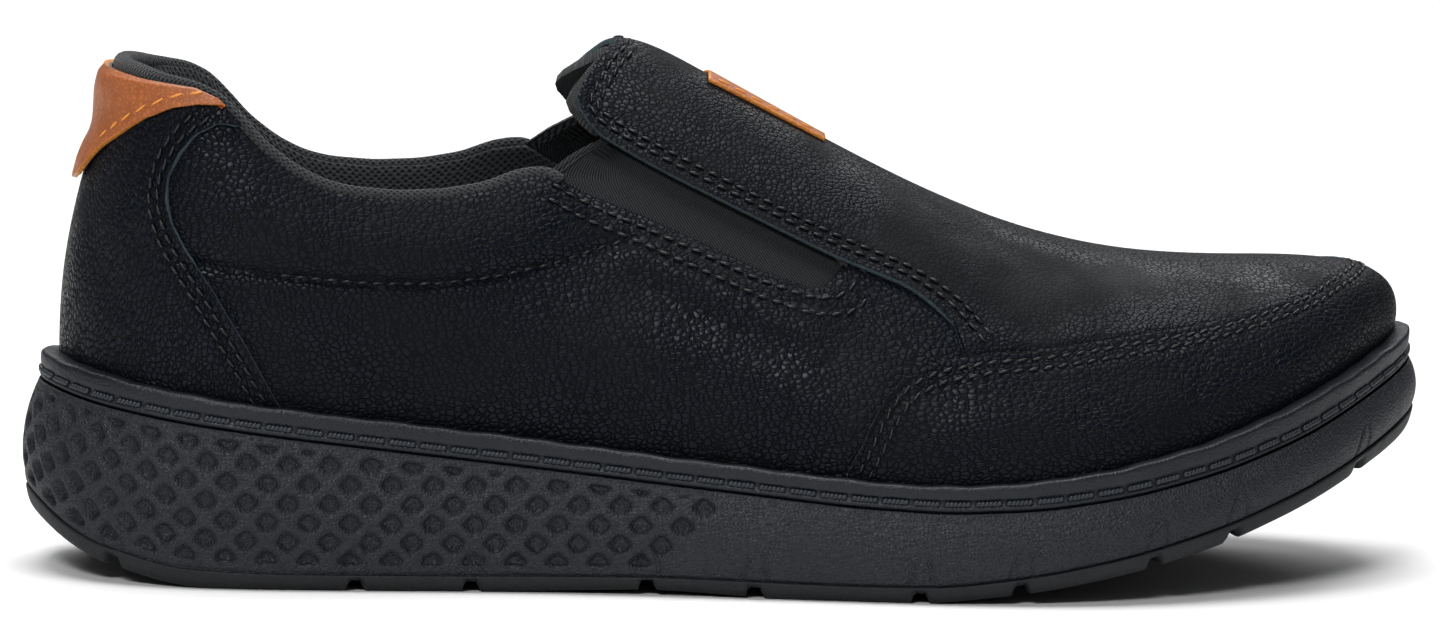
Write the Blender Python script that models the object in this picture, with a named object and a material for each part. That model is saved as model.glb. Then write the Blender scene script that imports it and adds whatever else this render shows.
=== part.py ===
"""A right-foot slip-on loafer with two elastic gores, standing empty on its sole.

X runs from heel to toe, Y towards the inner side of the foot and Z up. The origin lies under the
middle of the sole, on the floor. Tables are in millimetres and become metres where a mesh is made.
"""
import bmesh
import bpy
import numpy as np

MM = 0.001

# Driving sizes, mm
GAP = 0.3                   # between two solids that touch
SEAT = 0.48                 # the same under an overlay, whose flat facets dip between their corners
WALL = 2.0                  # quarter leather with its lining
OVERLAY = 1.2               # one layer of overlay leather
ELASTIC = 1.0
TAG_THICKNESS = 0.9
INSOLE_THICKNESS = 4.0
FEATHER_DROP = 1.0          # the upper meets the sole this far below the welt's top
OVERLAY_FOOT = 1.8          # an overlay starts this far up the leather, on the welt
FEATHER_INSET_TOE = 7.0     # from the sole's outline in to the upper's foot
FEATHER_INSET_HEEL = 9.0
PAD_SWELL = 2.6             # how far the padded collar stands out
GORE_TUCK = 7.0             # how far an elastic gore runs on under the leather
DIMPLE_PITCH = 4.3          # half the width of a diamond on the sole's side
DIMPLE_ROW = 3.93
DIMPLE_DEPTH = 1.2
DIMPLE_FOOT = 3.0           # plain band over the tread line
DIMPLE_HEAD = 2.6           # plain band under the groove
GROOVE_WIDTH = 2.5          # flex grooves of the tread
GROOVE_DEPTH = 1.8
RIB_ROUND = 0.035           # how far a rib row is blended into its neighbours, as a share
LINE_ROUND = 5.0            # the same for a row of the sole's lines, mm

# Outline of the sole, seen from above: x, y
OUTLINE = [
    (-150, 0), (-143, -20), (-125, -33), (-95, -38.5), (-50, -40), (0, -47), (45, -54.5), (75, -54.5),
    (100, -47), (121, -34.5), (138, -17), (150, 8), (146, 26), (131, 41), (104, 51), (68, 55),
    (28, 50), (-10, 41), (-50, 37), (-95, 37.5), (-125, 32.5), (-143, 19.5),
]

# Heights of the sole's lines along the shoe, with the toe spring and the raised heel edge
SOLE_COLUMNS = ("x", "bottom", "tread", "groove", "welt_top")
SOLE_LINES = [
    (-165, 23.0, 30.0, 42.5, 48.5),
    (-150, 11.5, 17.0, 39.6, 45.6),
    (-140, 5.0, 9.2, 37.2, 43.6),
    (-120, 0.2, 4.2, 34.2, 40.4),
    (-100, -0.8, 3.5, 31.8, 37.9),
    (-60, -0.3, 3.5, 27.5, 33.7),
    (-20, 1.1, 4.0, 23.3, 29.2),
    (20, -0.8, 3.4, 19.6, 25.3),
    (40, 0.2, 3.6, 18.8, 24.4),
    (60, 2.8, 6.4, 19.9, 26.0),
    (80, 6.6, 10.5, 22.8, 29.3),
    (100, 11.7, 15.8, 27.2, 34.1),
    (120, 18.4, 22.6, 33.4, 40.8),
    (135, 24.2, 28.6, 39.4, 46.4),
    (150, 30.2, 35.4, 45.4, 52.0),
    (165, 36.2, 42.2, 51.4, 57.6),
]
FLEX_GROOVES = (-133, -82, -58, -22, 0, 34, 55, 84, 102, 133)

# Top line of the last from the instep to the toe: x, z
RIDGE = [
    (-60, 129), (-35, 117.5), (-20, 110.8), (0, 100.2), (20, 89.5), (40, 79.7), (60, 71.8), (80, 67.0),
    (100, 65.2), (112, 65.4), (125, 65.4), (150, 65),
]

# Ribs of the last. Each climbs from the sole to the top line; share is its place from heel to toe
# along the sole's edge. The foot leans out and rises, the top reaches out and drops.
RIB_COLUMNS = ("share", "top_x", "top_half", "top_z", "lean", "rise", "reach", "drop")
RIBS = [
    (0.00, -132.5, 0.0, 107.5, 0.5, 30, 2, 22),
    (0.06, -130, 15.0, 107, 1.0, 30, 3, 24),
    (0.12, -120, 24.0, 106, 2.0, 28, 3, 26),
    (0.20, -98, 26.0, 104, 3.0, 26, 4, 26),
    (0.30, -66, 25.0, 103, 3.5, 24, 5, 26),
    (0.355, -46, 17.0, 107, 4.0, 24, 9, 21),
    (0.41, -30, 0.5, 112, 4.0, 26, 19, 8),
    (0.46, -16, 0.0, 109, 4.0, 27, 20, 3),
    (0.52, 4, 0.0, 98, 3.5, 28, 22, 0),
    (0.60, 31, 0.0, 85, 3.0, 26, 26, 0),
    (0.70, 64, 0.0, 72, 2.5, 22, 30, 0),
    (0.80, 92, 0.0, 67, 2.0, 18, 31, 0),
    (0.90, 107, 0.0, 66, 3.0, 15, 27, 0),
    (1.00, 113, 0.0, 66, 3.5, 13, 22, 0),
]
RIDGE_OFFSET = [(-130, 0), (-20, 3), (40, 4), (112, 6)]     # x, y of the top line

# Edges of the pattern pieces: share from heel to toe, climb in mm up the leather from the sole
COLLAR_EDGE = [
    (0.00, 61.5), (0.09, 62.5), (0.135, 63.4), (0.153, 62.2), (0.168, 58.8), (0.184, 54.5),
    (0.206, 50.4), (0.226, 48.0), (0.245, 47.2), (0.275, 47.6), (0.304, 49.2), (0.330, 52.0),
    (0.350, 55.8), (0.371, 58.0),
]
GORE_FOOT = [
    (0.371, 58.0), (0.390, 55.3), (0.428, 52.0), (0.465, 48.0), (0.500, 43.8), (0.530, 41.5),
    (0.550, 41.0), (0.620, 38.0), (0.700, 36.0), (0.800, 31.0), (0.900, 25.0), (1.000, 22.0),
]
VAMP_EDGE = [
    (0.392, 69.5), (0.408, 68.0), (0.429, 64.8), (0.452, 61.6), (0.489, 57.0), (0.525, 52.4),
    (0.551, 49.0), (0.574, 46.4), (0.589, 44.6), (0.598, 42.6), (0.606, 40.0), (0.613, 37.0),
    (0.620, 32.6), (0.625, 28.6),
]
FLAP_EDGE = [       # how far up the flap from its corner to the ridge, share
    (0.00, 0.408), (0.08, 0.400), (0.20, 0.394), (0.35, 0.392), (0.50, 0.396), (0.75, 0.408),
    (0.92, 0.419), (1.00, 0.427),
]
MUDGUARD_EDGE = [
    (0.537, 2.2), (0.545, 7.0), (0.553, 12.4), (0.564, 18.4), (0.578, 23.2), (0.599, 26.6),
    (0.635, 28.0), (0.720, 27.6), (0.773, 25.8), (0.820, 23.8), (0.870, 21.6), (0.930, 20.4),
    (1.000, 20.4),
]
COUNTER_EDGE = [    # climb, share
    (0, 0.204), (13, 0.180), (23, 0.158), (30.5, 0.137), (35, 0.126), (39.5, 0.119), (44, 0.119),
    (49, 0.126), (53, 0.139), (55.5, 0.157), (57, 0.168), (61.5, 0.158),
]
TAB_EDGE = [
    (0.00, 37.0), (0.018, 38.6), (0.046, 45.8), (0.094, 55.0), (0.117, 58.8), (0.138, 60.4),
    (0.150, 60.8),
]
PAD_SEAM = [
    (0.10, 27.6), (0.197, 28.4), (0.254, 29.0), (0.293, 30.4), (0.330, 33.4), (0.367, 38.0),
    (0.398, 43.0), (0.420, 46.0),
]

# Finishes: base colour, roughness
FINISHES = {
    "sole_rubber": ((0.026, 0.029, 0.034), 0.62),
    "tread_rubber": ((0.018, 0.020, 0.023), 0.70),
    "leather": ((0.010, 0.011, 0.014), 0.42),
    "tan_leather": ((0.400, 0.150, 0.045), 0.50),
    "elastic": ((0.012, 0.013, 0.015), 0.85),
    "lining": ((0.030, 0.031, 0.033), 0.90),
}


def blended(rows, column, at, spread):
    """Reads a table column, each row blended into its neighbours over plus and minus the spread."""
    table = np.array(rows, float)
    near = np.asarray(at, float)[..., None] + spread * np.linspace(-1, 1, 6)
    return np.interp(near, table[:, 0], table[:, column]).mean(axis=-1)


def read(rows, at):
    """Reads a two-column table."""
    table = np.array(rows, float)
    return np.interp(at, table[:, 0], table[:, 1])


def closed_curve(points, count):
    """Evenly spaced points on the closed cubic spline through the given points."""
    points = np.array(points, float)
    total = len(points)
    step = np.linalg.norm(np.roll(points, -1, 0) - points, axis=1)
    start = np.concatenate([[0], np.cumsum(step)])
    matrix = np.zeros((total, total))
    pull = np.zeros((total, 2))
    for i in range(total):
        after = (i + 1) % total
        matrix[i, i - 1] += step[i - 1]
        matrix[i, i] += 2 * (step[i - 1] + step[i])
        matrix[i, after] += step[i]
        pull[i] = 6 * ((points[after] - points[i]) / step[i] - (points[i] - points[i - 1]) / step[i - 1])
    bend = np.linalg.solve(matrix, pull)
    at = np.linspace(0, start[-1], count, endpoint=False)
    k = np.searchsorted(start, at, side="right") - 1
    n = (k + 1) % total
    size = step[k][:, None]
    a = start[k + 1][:, None] - at[:, None]
    b = at[:, None] - start[k][:, None]
    cubic = (bend[k] * a ** 3 + bend[n] * b ** 3) / (6 * size)
    straight = (points[k] / size - bend[k] * size / 6) * a + (points[n] / size - bend[n] * size / 6) * b
    return cubic + straight


def outline_halves():
    """The lateral and the medial half of the outline, each from heel to toe with its shares."""
    loop = closed_curve(OUTLINE, 2400)
    loop = np.roll(loop, -int(np.argmin(loop[:, 0])), axis=0)
    toe = int(np.argmax(loop[:, 0]))
    halves = []
    for half in (loop[:toe + 1], np.vstack([loop[toe:], loop[:1]])[::-1]):
        length = np.concatenate([[0], np.cumsum(np.linalg.norm(np.diff(half, axis=0), axis=1))])
        halves.append((length / length[-1], half, length[-1]))
    return halves


LATERAL, MEDIAL = outline_halves()


def wrapped(place):
    """A place on the loop: 0 at the heel, 1 at the toe, above 0 lateral and below 0 medial."""
    return (np.asarray(place, float) + 1) % 2 - 1


def outline_at(place):
    place = wrapped(place)
    share = np.abs(place)
    sides = []
    for shares, half, _ in (LATERAL, MEDIAL):
        sides.append(np.stack([np.interp(share, shares, half[:, 0]), np.interp(share, shares, half[:, 1])], -1))
    return np.where((place >= 0)[..., None], sides[0], sides[1])


def edge(place, inset=0.0):
    """Plan point and outward direction, an inset inside the sole's outline."""
    place = np.asarray(place, float)
    point = outline_at(place)
    along = outline_at(place + 0.004) - outline_at(place - 0.004)
    along /= np.linalg.norm(along, axis=-1, keepdims=True)
    out = np.stack([along[..., 1], -along[..., 0]], -1)
    return point - out * np.broadcast_to(inset, place.shape)[..., None], out


def heelward(x):
    """0 at the ball and forward of it, 1 at the heel."""
    return np.clip((60 - x) / 200, 0, 1)


def sole_line(name, x):
    height = blended(SOLE_LINES, SOLE_COLUMNS.index(name), x, LINE_ROUND)
    return np.maximum(height, 0) if name == "bottom" else height


def sole_ring(place, inset_toe, inset_heel, line, lift=0.0):
    """Points at an inset and at a height over one of the sole's lines."""
    x = outline_at(place)[..., 0]
    plan, _ = edge(place, inset_toe + (inset_heel - inset_toe) * heelward(x))
    return np.concatenate([plan, (sole_line(line, x) + lift)[..., None]], -1)


def feather(place, inward=0.0):
    """The line where the upper meets the sole."""
    return sole_ring(place, FEATHER_INSET_TOE + inward, FEATHER_INSET_HEEL + inward, "welt_top", -FEATHER_DROP)


def rib_value(name, place):
    near = wrapped(np.asarray(place, float)[..., None] + RIB_ROUND * np.linspace(-1, 1, 6))
    table = np.array(RIBS, float)
    value = np.interp(np.abs(near), table[:, 0], table[:, RIB_COLUMNS.index(name)])
    if name == "top_half":
        value = -np.sign(near) * value
    return value.mean(axis=-1)


def last_point(place, rise):
    """Point of the last: rise runs from 0 at the sole to 1 at the top line."""
    place, rise = np.broadcast_arrays(np.asarray(place, float), np.asarray(rise, float))
    foot = feather(place)
    _, out = edge(place)
    top_x = rib_value("top_x", place)
    top_y = rib_value("top_half", place) + read(RIDGE_OFFSET, top_x)
    front = np.clip((np.abs(wrapped(place)) - 0.40) / 0.08, 0, 1)
    front = front ** 2 * (3 - 2 * front)
    top_z = rib_value("top_z", place) * (1 - front) + blended(RIDGE, 1, top_x, 8.0) * front
    slope = (blended(RIDGE, 1, top_x + 4, 8.0) - blended(RIDGE, 1, top_x - 4, 8.0)) / 8 * front
    reach = rib_value("reach", place)[..., None] * out
    top = np.stack([top_x, top_y, top_z], -1)
    shoulder = top + np.concatenate([reach, (reach[..., 0] * slope - rib_value("drop", place))[..., None]], -1)
    lean = rib_value("lean", place)[..., None] * out
    side = foot + np.concatenate([lean, rib_value("rise", place)[..., None]], -1)
    h = rise[..., None]
    return (1 - h) ** 3 * foot + 3 * (1 - h) ** 2 * h * side + 3 * (1 - h) * h ** 2 * shoulder + h ** 3 * top


# The ribs' lengths, so that a climb in mm can be turned into a rise
PLACES = np.linspace(-1, 1, 721)
RISES = np.linspace(0, 1, 101)


def rib_lengths():
    ribs = last_point(PLACES[:, None], RISES[None, :])
    step = np.linalg.norm(np.diff(ribs, axis=1), axis=-1)
    return np.concatenate([np.zeros((len(PLACES), 1)), np.cumsum(step, axis=1)], axis=1)


CLIMBS = rib_lengths()
RISE_TABLE = np.array([np.interp(RISES, row / row[-1], RISES) for row in CLIMBS])


def full_climb(place):
    return np.interp(wrapped(place), PLACES, CLIMBS[:, -1])


def rise_of(place, climb):
    """Turns a climb in mm into a rise, read between the ribs of the table."""
    place = wrapped(place)
    part = np.clip(climb / full_climb(place), 0, 1) * (len(RISES) - 1)
    column = (place + 1) / 2 * (len(PLACES) - 1)
    i = np.clip(column.astype(int), 0, len(PLACES) - 2)
    j = np.clip(part.astype(int), 0, len(RISES) - 2)
    u, v = column - i, part - j
    low = RISE_TABLE[i, j] * (1 - u) + RISE_TABLE[i + 1, j] * u
    high = RISE_TABLE[i, j + 1] * (1 - u) + RISE_TABLE[i + 1, j + 1] * u
    return low * (1 - v) + high * v


def pad_swell(place, climb):
    """How far the padded collar stands out between its seam and its edge."""
    share = np.abs(wrapped(place))
    seam = read(PAD_SEAM, share)
    part = np.clip((climb - seam) / (read(COLLAR_EDGE + GORE_FOOT[1:], share) - seam), 0, 1)
    fade = np.clip((share - 0.10) / 0.08, 0, 1) * np.clip((0.42 - share) / 0.06, 0, 1)
    return PAD_SWELL * np.sin(np.pi * part ** 0.8) ** 0.8 * fade


def upper_point(place, climb, lift=0.0):
    """Point of the upper's outer face, lifted along its normal."""
    place, climb = np.broadcast_arrays(np.asarray(place, float), np.asarray(climb, float))
    rise = rise_of(place, climb)
    low = np.minimum(rise, 0.96)
    along = last_point(place + 0.003, low) - last_point(place - 0.003, low)
    up = last_point(place, np.minimum(rise + 0.01, 1)) - last_point(place, np.maximum(rise - 0.01, 0))
    normal = np.cross(along, up)
    normal /= np.linalg.norm(normal, axis=-1, keepdims=True)
    return last_point(place, rise) + normal * (lift + pad_swell(place, climb))[..., None]


def finish_of(name):
    material = bpy.data.materials.new(name)
    colour, roughness = FINISHES[name]
    material.use_nodes = True
    shader = material.node_tree.nodes["Principled BSDF"]
    shader.inputs["Base Color"].default_value = (*colour, 1)
    shader.inputs["Roughness"].default_value = roughness
    return material


def make_object(name, mesh, finish):
    """Ends a piece: outward faces, triangles, a finish of its own."""
    bmesh.ops.recalc_face_normals(mesh, faces=mesh.faces[:])
    bmesh.ops.triangulate(mesh, faces=[f for f in mesh.faces if len(f.verts) > 3])
    data = bpy.data.meshes.new(name)
    mesh.to_mesh(data)
    mesh.free()
    data.shade_smooth()
    data.set_sharp_from_angle(angle=np.radians(40))
    piece = bpy.data.objects.new(name, data)
    material = finish_of(finish)
    material.name = name + "_" + finish
    data.materials.append(material)
    bpy.context.scene.collection.objects.link(piece)
    return piece


def wall(name, cells, outer, inner, finish):
    """A closed wall: cells are four corner keys, outer and inner give the point of each key."""
    mesh = bmesh.new()
    front, back = {}, {}
    for cell in cells:
        for key in cell:
            if key not in front:
                front[key] = mesh.verts.new(outer[key] * MM)
                back[key] = mesh.verts.new(inner[key] * MM)
    sides = set()
    for cell in cells:
        corners = [key for n, key in enumerate(cell) if key != cell[n - 1]]
        mesh.faces.new([front[key] for key in corners])
        mesh.faces.new([back[key] for key in reversed(corners)])
        sides.update(zip(corners, corners[1:] + corners[:1]))
    for a, b in sorted(sides):
        if (b, a) not in sides:
            mesh.faces.new([front[b], front[a], back[a], back[b]])
    return make_object(name, mesh, finish)


def sheet(name, places, climbs, lift, thickness, finish):
    """A piece of leather laid on the upper: arrays of places and climbs, columns by rows."""
    outer = upper_point(places, climbs, lift + thickness)
    inner = upper_point(places, climbs, lift)
    columns, rows = places.shape
    cells = []
    for i in range(columns - 1):
        for j in range(rows - 1):
            cells.append(((i, j), (i + 1, j), (i + 1, j + 1), (i, j + 1)))
    keys = {(i, j): (i, j) for i in range(columns) for j in range(rows)}
    return wall(name, cells, {k: outer[k] for k in keys}, {k: inner[k] for k in keys}, finish)


def over_the_top(name, shares, climbs, lift, thickness, finish, closed_toe, kept=None):
    """A piece that crosses the top line: one half's columns by rows, its last row on the top line."""
    columns, rows = shares.shape
    top = rows - 1
    places = np.concatenate([shares, -shares[:, :top][:, ::-1]], axis=1)
    heights = np.concatenate([climbs, climbs[:, :top][:, ::-1]], axis=1)
    faces = []
    for offset in (lift + thickness, lift):
        points = upper_point(places, heights, offset)
        points[:, top] = (upper_point(shares[:, top], climbs[:, top], offset)
                          + upper_point(-shares[:, top], climbs[:, top], offset)) / 2
        faces.append(points)
    last = 2 * top

    def key(i, j):
        shared = (closed_toe and i == columns - 1) or shares[i, 0] == 0
        return (i, min(j, last - j)) if shared else (i, j)

    cells = []
    for i in range(columns - 1):
        for j in range(last):
            if kept is None or kept(i, min(j, last - 1 - j)):
                cells.append((key(i, j), key(i + 1, j), key(i + 1, j + 1), key(i, j + 1)))
    keys = {k for cell in cells for k in cell}
    return wall(name, cells, {k: faces[0][k] for k in keys}, {k: faces[1][k] for k in keys}, finish)


def ring_solid(name, shares, rings, finish, bottom_cap=True, top_cap=True):
    """A solid of closed rings, capped straight across from the lateral to the medial side."""
    places = np.concatenate([shares, -shares[1:-1][::-1]])
    count = len(places)
    mesh = bmesh.new()
    grid = [[mesh.verts.new(point * MM) for point in ring(places)] for ring in rings]
    for low, high in zip(grid, grid[1:]):
        for i in range(count):
            n = (i + 1) % count
            mesh.faces.new([low[i], low[n], high[n], high[i]])
    half = len(shares) - 1
    for cap, ring in ((bottom_cap, grid[0]), (top_cap, grid[-1])):
        for i in range(half if cap else 0):
            corners = [ring[i], ring[i + 1], ring[-i - 1], ring[-i]] if i else [ring[0], ring[1], ring[-1]]
            if i == half - 1:
                corners = [ring[i], ring[i + 1], ring[-i]]
            mesh.faces.new(corners)
    if not bottom_cap and not top_cap:
        for i in range(count):
            n = (i + 1) % count
            mesh.faces.new([grid[-1][i], grid[-1][n], grid[0][n], grid[0][i]])
    return make_object(name, mesh, finish)


def share_at_x(x):
    """Share of the lateral edge point with this x."""
    shares, half, _ = LATERAL
    return float(np.interp(x, half[:, 0], shares))


def even_shares(count):
    return np.linspace(0, 1, count + 1)


def build_outsole():
    """Tread layer: its flex grooves cross the sole and notch its edge."""
    shares = list(even_shares(36))
    grooves = [share_at_x(x) for x in FLEX_GROOVES]
    half_width = GROOVE_WIDTH / 2 / LATERAL[2]
    draft = 0.4 / LATERAL[2]
    for groove in grooves:
        shares = [s for s in shares if abs(s - groove) > 2.5 * half_width]
        shares += [groove - half_width - draft, groove - half_width, groove + half_width, groove + half_width + draft]
    shares = np.array(sorted(shares))

    def cut(places):
        share = np.abs(wrapped(places))
        inside = [np.abs(share - groove) < half_width + draft / 2 for groove in grooves]
        return np.where(np.any(inside, axis=0), GROOVE_DEPTH, 0.0)

    rings = [
        lambda p: sole_ring(p, 4.6, 5.2, "bottom") + cut(p)[:, None] * np.array([0, 0, 1]),
        lambda p: sole_ring(p, 1.9, 2.2, "bottom", 1.1) + 0.8 * cut(p)[:, None] * np.array([0, 0, 1]),
        lambda p: sole_ring(p, 1.0, 1.2, "tread", -GAP),
    ]
    return ring_solid("outsole", shares, rings, "tread_rubber")


def dimpled(place, row, rows):
    """1 at the bottom of a diamond, 0 on the ribs and on the plain front of the sole's side."""
    column = np.rint(np.abs(wrapped(place)) * LATERAL[2] / DIMPLE_PITCH).astype(int)
    x = outline_at(place)[..., 0]
    height = sole_line("groove", x) - sole_line("tread", x)
    up = DIMPLE_FOOT + row * DIMPLE_ROW
    fits = (up < height - DIMPLE_HEAD - 0.6 * DIMPLE_ROW) & (0 < row) & (row < rows)
    behind = x < -4 - 1.1 * (height - up)
    return ((column + row) % 2 == 0) & fits & behind


def build_midsole():
    """Thick moulded wall with rows of diamond dimples round its rear two thirds."""
    count = int(round(LATERAL[2] / DIMPLE_PITCH))
    shares = even_shares(count)
    shares = np.concatenate([shares[:count // 2], shares[count // 2::2]])
    rows = 7

    def row_ring(row):
        def ring(places):
            x = outline_at(places)[..., 0]
            low = sole_line("tread", x)
            high = sole_line("groove", x)
            step = 0.5 * (rows - row)
            z = np.minimum(low + DIMPLE_FOOT + row * DIMPLE_ROW, high - DIMPLE_HEAD - step)
            part = (z - low) / (high - low)
            belly = 4 * part * (1 - part)
            inset = 1.2 * (1 - part) + (2.0 + 1.6 * heelward(x)) * part - (1.3 + 0.7 * heelward(x)) * belly
            inset = inset + DIMPLE_DEPTH * dimpled(places, row, rows)
            plan, _ = edge(places, inset)
            return np.concatenate([plan, z[:, None]], -1)
        return ring

    rings = [lambda p: sole_ring(p, 1.2, 1.2, "tread")]
    rings += [row_ring(row) for row in range(rows + 1)]
    rings += [lambda p: sole_ring(p, 2.0, 3.6, "groove", -GAP)]
    midsole = ring_solid("midsole", shares, rings, "sole_rubber")
    turn_diagonals(midsole, len(shares) * 2 - 2, rows)
    return midsole


def build_welt():
    """Strip round the top of the sole, stepped in where it meets the wall below."""
    shares = even_shares(40)
    rings = [
        lambda p: sole_ring(p, 2.8, 4.4, "groove", 0.0),
        lambda p: sole_ring(p, 2.8, 4.4, "groove", 0.8),
        lambda p: sole_ring(p, 2.0, 3.7, "groove", 1.1),
        lambda p: sole_ring(p, 2.3, 4.4, "welt_top", -0.6),
        lambda p: sole_ring(p, 2.9, 5.0, "welt_top"),
        lambda p: sole_ring(p, FEATHER_INSET_TOE - GAP, FEATHER_INSET_HEEL - GAP, "welt_top"),
        lambda p: sole_ring(p, FEATHER_INSET_TOE - GAP, FEATHER_INSET_HEEL - GAP, "groove", 0.0),
    ]
    return ring_solid("welt", shares, rings, "sole_rubber", bottom_cap=False, top_cap=False)


def build_insole():
    inset = WALL + GAP + 0.2
    rings = [
        lambda p: sole_ring(p, FEATHER_INSET_TOE + inset, FEATHER_INSET_HEEL + inset, "groove"),
        lambda p: sole_ring(p, FEATHER_INSET_TOE + inset, FEATHER_INSET_HEEL + inset, "groove",
                            INSOLE_THICKNESS),
    ]
    return ring_solid("insole", even_shares(30), rings, "lining")


def build_upper():
    """The hollow wall: quarter rows, gore rows that are left open, and vamp rows up to the top line."""
    rear = list(np.linspace(0, 0.371, 15))
    gore = list(np.linspace(0.371, 0.548, 9))[1:]
    front = list(np.linspace(0.548, 1, 17))[1:]
    base = np.array(rear + gore + front)
    corner = len(rear) - 1
    window_end = corner + len(gore)
    quarter = np.array([-1, 0, 0.14, 0.28, 0.42, 0.56, 0.70, 0.85, 1.0])
    gore_rows = np.array([0.5, 1.0])
    vamp_rows = np.array([0.25, 0.5, 0.75, 1.0])
    columns = len(base)
    rows = len(quarter) + len(gore_rows) + len(vamp_rows)
    shares = np.repeat(base[:, None], rows, axis=1)
    first_vamp = len(quarter) + len(gore_rows) - 1
    flap_column = corner + 2
    for i in range(flap_column, window_end):
        fade = (window_end - i) / (window_end - flap_column)
        for j in range(first_vamp, rows):
            up = (j - first_vamp) / (rows - 1 - first_vamp)
            shares[i, j] += fade * (read(FLAP_EDGE, up) - base[flap_column])
    collar = read(COLLAR_EDGE + GORE_FOOT[1:], shares)
    vamp = read(VAMP_EDGE[:9] + [(0.70, 50), (0.80, 42), (0.90, 31), (1.0, 28)], shares)
    full = full_climb(shares)
    climbs = np.zeros_like(shares)
    for j in range(rows):
        if j < len(quarter):
            climbs[:, j] = quarter[j] * collar[:, j]
        elif j <= first_vamp:
            part = gore_rows[j - len(quarter)]
            climbs[:, j] = collar[:, j] + part * (vamp[:, j] - collar[:, j])
        else:
            part = vamp_rows[j - first_vamp - 1]
            climbs[:, j] = vamp[:, j] + part * (full[:, j] - vamp[:, j])

    def kept(i, j):
        if j < len(quarter) - 1:
            return True
        if j < first_vamp:
            return i >= window_end
        return i >= flap_column

    return over_the_top("upper", shares, climbs, -WALL, WALL, "leather", True, kept)


def build_vamp():
    """Vamp and instep flap in one piece, from the flap's free end to the mudguard."""
    base = np.array([0.408, 0.425, 0.445, 0.47, 0.495, 0.52, 0.545, 0.57, 0.592, 0.602, 0.610, 0.617, 0.625,
                     0.642, 0.662, 0.684, 0.708, 0.735, 0.765, 0.795, 0.825, 0.855, 0.885, 0.915, 0.945,
                     0.972, 1.0])
    parts = np.array([0, 0.12, 0.26, 0.40, 0.54, 0.68, 0.84, 1.0])
    shares = np.repeat(base[:, None], len(parts), axis=1)
    fades = (1.0, 0.7, 0.35, 0.1)
    for i, fade in enumerate(fades):
        shares[i] += fade * (read(FLAP_EDGE, parts) - base[0])
    foot = read(VAMP_EDGE, shares)
    mudguard = read(MUDGUARD_EDGE, shares) + GAP
    foot = np.where(shares < 0.625, np.maximum(foot, mudguard), mudguard)
    climbs = foot + parts[None, :] * (full_climb(shares) - foot)
    return over_the_top("vamp_tongue", shares, climbs, SEAT, OVERLAY, "leather", True)


def build_mudguard():
    shares = np.array([0.537, 0.545, 0.553, 0.564, 0.578, 0.599, 0.63, 0.66, 0.69, 0.72, 0.75, 0.78,
                       0.805, 0.83, 0.85, 0.87, 0.89, 0.91, 0.93, 0.948, 0.966, 0.983, 1.0])
    places = np.concatenate([shares, -shares[:-1][::-1]])
    parts = np.array([0, 0.25, 0.5, 0.75, 1.0])
    foot = OVERLAY_FOOT
    top = read(MUDGUARD_EDGE, np.abs(places))
    climbs = foot + parts[None, :] * (top - foot)[:, None]
    return sheet("mudguard", np.repeat(places[:, None], len(parts), axis=1), climbs, SEAT, OVERLAY, "leather")


def build_counter():
    climbs = np.array([OVERLAY_FOOT, 12, 23, 30.5, 35, 39.5, 44, 49, 53, 55.5, 57, 61.5])
    across = np.linspace(-1, 1, 21)
    places = across[:, None] * read(COUNTER_EDGE, climbs)[None, :]
    return sheet("counter", places, np.repeat(climbs[None, :], len(across), axis=0), SEAT, OVERLAY, "leather")


def build_heel_tab():
    """Tan patch over the top of the counter."""
    places = np.linspace(-0.15, 0.15, 19)
    parts = np.array([0, 0.5, 1.0])
    low = read(TAB_EDGE, np.abs(places))
    high = read(COLLAR_EDGE, np.abs(places))
    climbs = low[:, None] + parts[None, :] * (high - low)[:, None]
    lift = OVERLAY + 2 * SEAT
    return sheet("heel_tab", np.repeat(places[:, None], len(parts), axis=1), climbs, lift, OVERLAY, "tan_leather")


def build_gore(name, side):
    """Elastic gusset, tucked under the quarter and under the vamp."""
    base = np.linspace(0.374, 0.562, 9)
    parts = np.linspace(0, 1, 5)
    shares = np.repeat(base[:, None], len(parts), axis=1)
    for i in range(3):
        shares[i] += (1 - i / 3) * 0.030 * parts
    low = read(GORE_FOOT, shares) - GORE_TUCK
    high = read(VAMP_EDGE, shares) + GORE_TUCK
    climbs = low + parts[None, :] * (high - low)
    return sheet(name, shares[::side] * side, climbs[::side], -WALL - 2 * GAP - ELASTIC, ELASTIC, "elastic")


def build_tag():
    """Small tan tab across the top line of the instep, left bare."""
    base = np.linspace(0.490, 0.560, 5)
    rows = np.array([-6.0, -3.0, 0.0])
    shares = np.repeat(base[:, None], len(rows), axis=1)
    climbs = full_climb(shares) + rows[None, :]
    return over_the_top("instep_tag", shares, climbs, OVERLAY + 2 * SEAT, TAG_THICKNESS, "tan_leather", False)


def turn_diagonals(piece, count, rows):
    """Turns the wall's triangles so that the ribs between the diamonds run straight."""
    mesh = bmesh.new()
    mesh.from_mesh(piece.data)
    mesh.verts.ensure_lookup_table()
    mesh.verts.index_update()
    wrong = []
    for edge_ in mesh.edges:
        a, b = sorted(v.index for v in edge_.verts)
        (row_a, at_a), (row_b, at_b) = divmod(a, count), divmod(b, count)
        if not (1 <= row_a and row_b <= rows + 1 and row_b == row_a + 1) or at_a == at_b:
            continue
        half = count // 2
        column = at_a if at_a <= half else count - at_a
        if (column + row_a - 1) % 2 == 0:
            wrong.append(edge_)
    bmesh.ops.rotate_edges(mesh, edges=wrong, use_ccw=True)
    mesh.to_mesh(piece.data)
    mesh.free()


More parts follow.
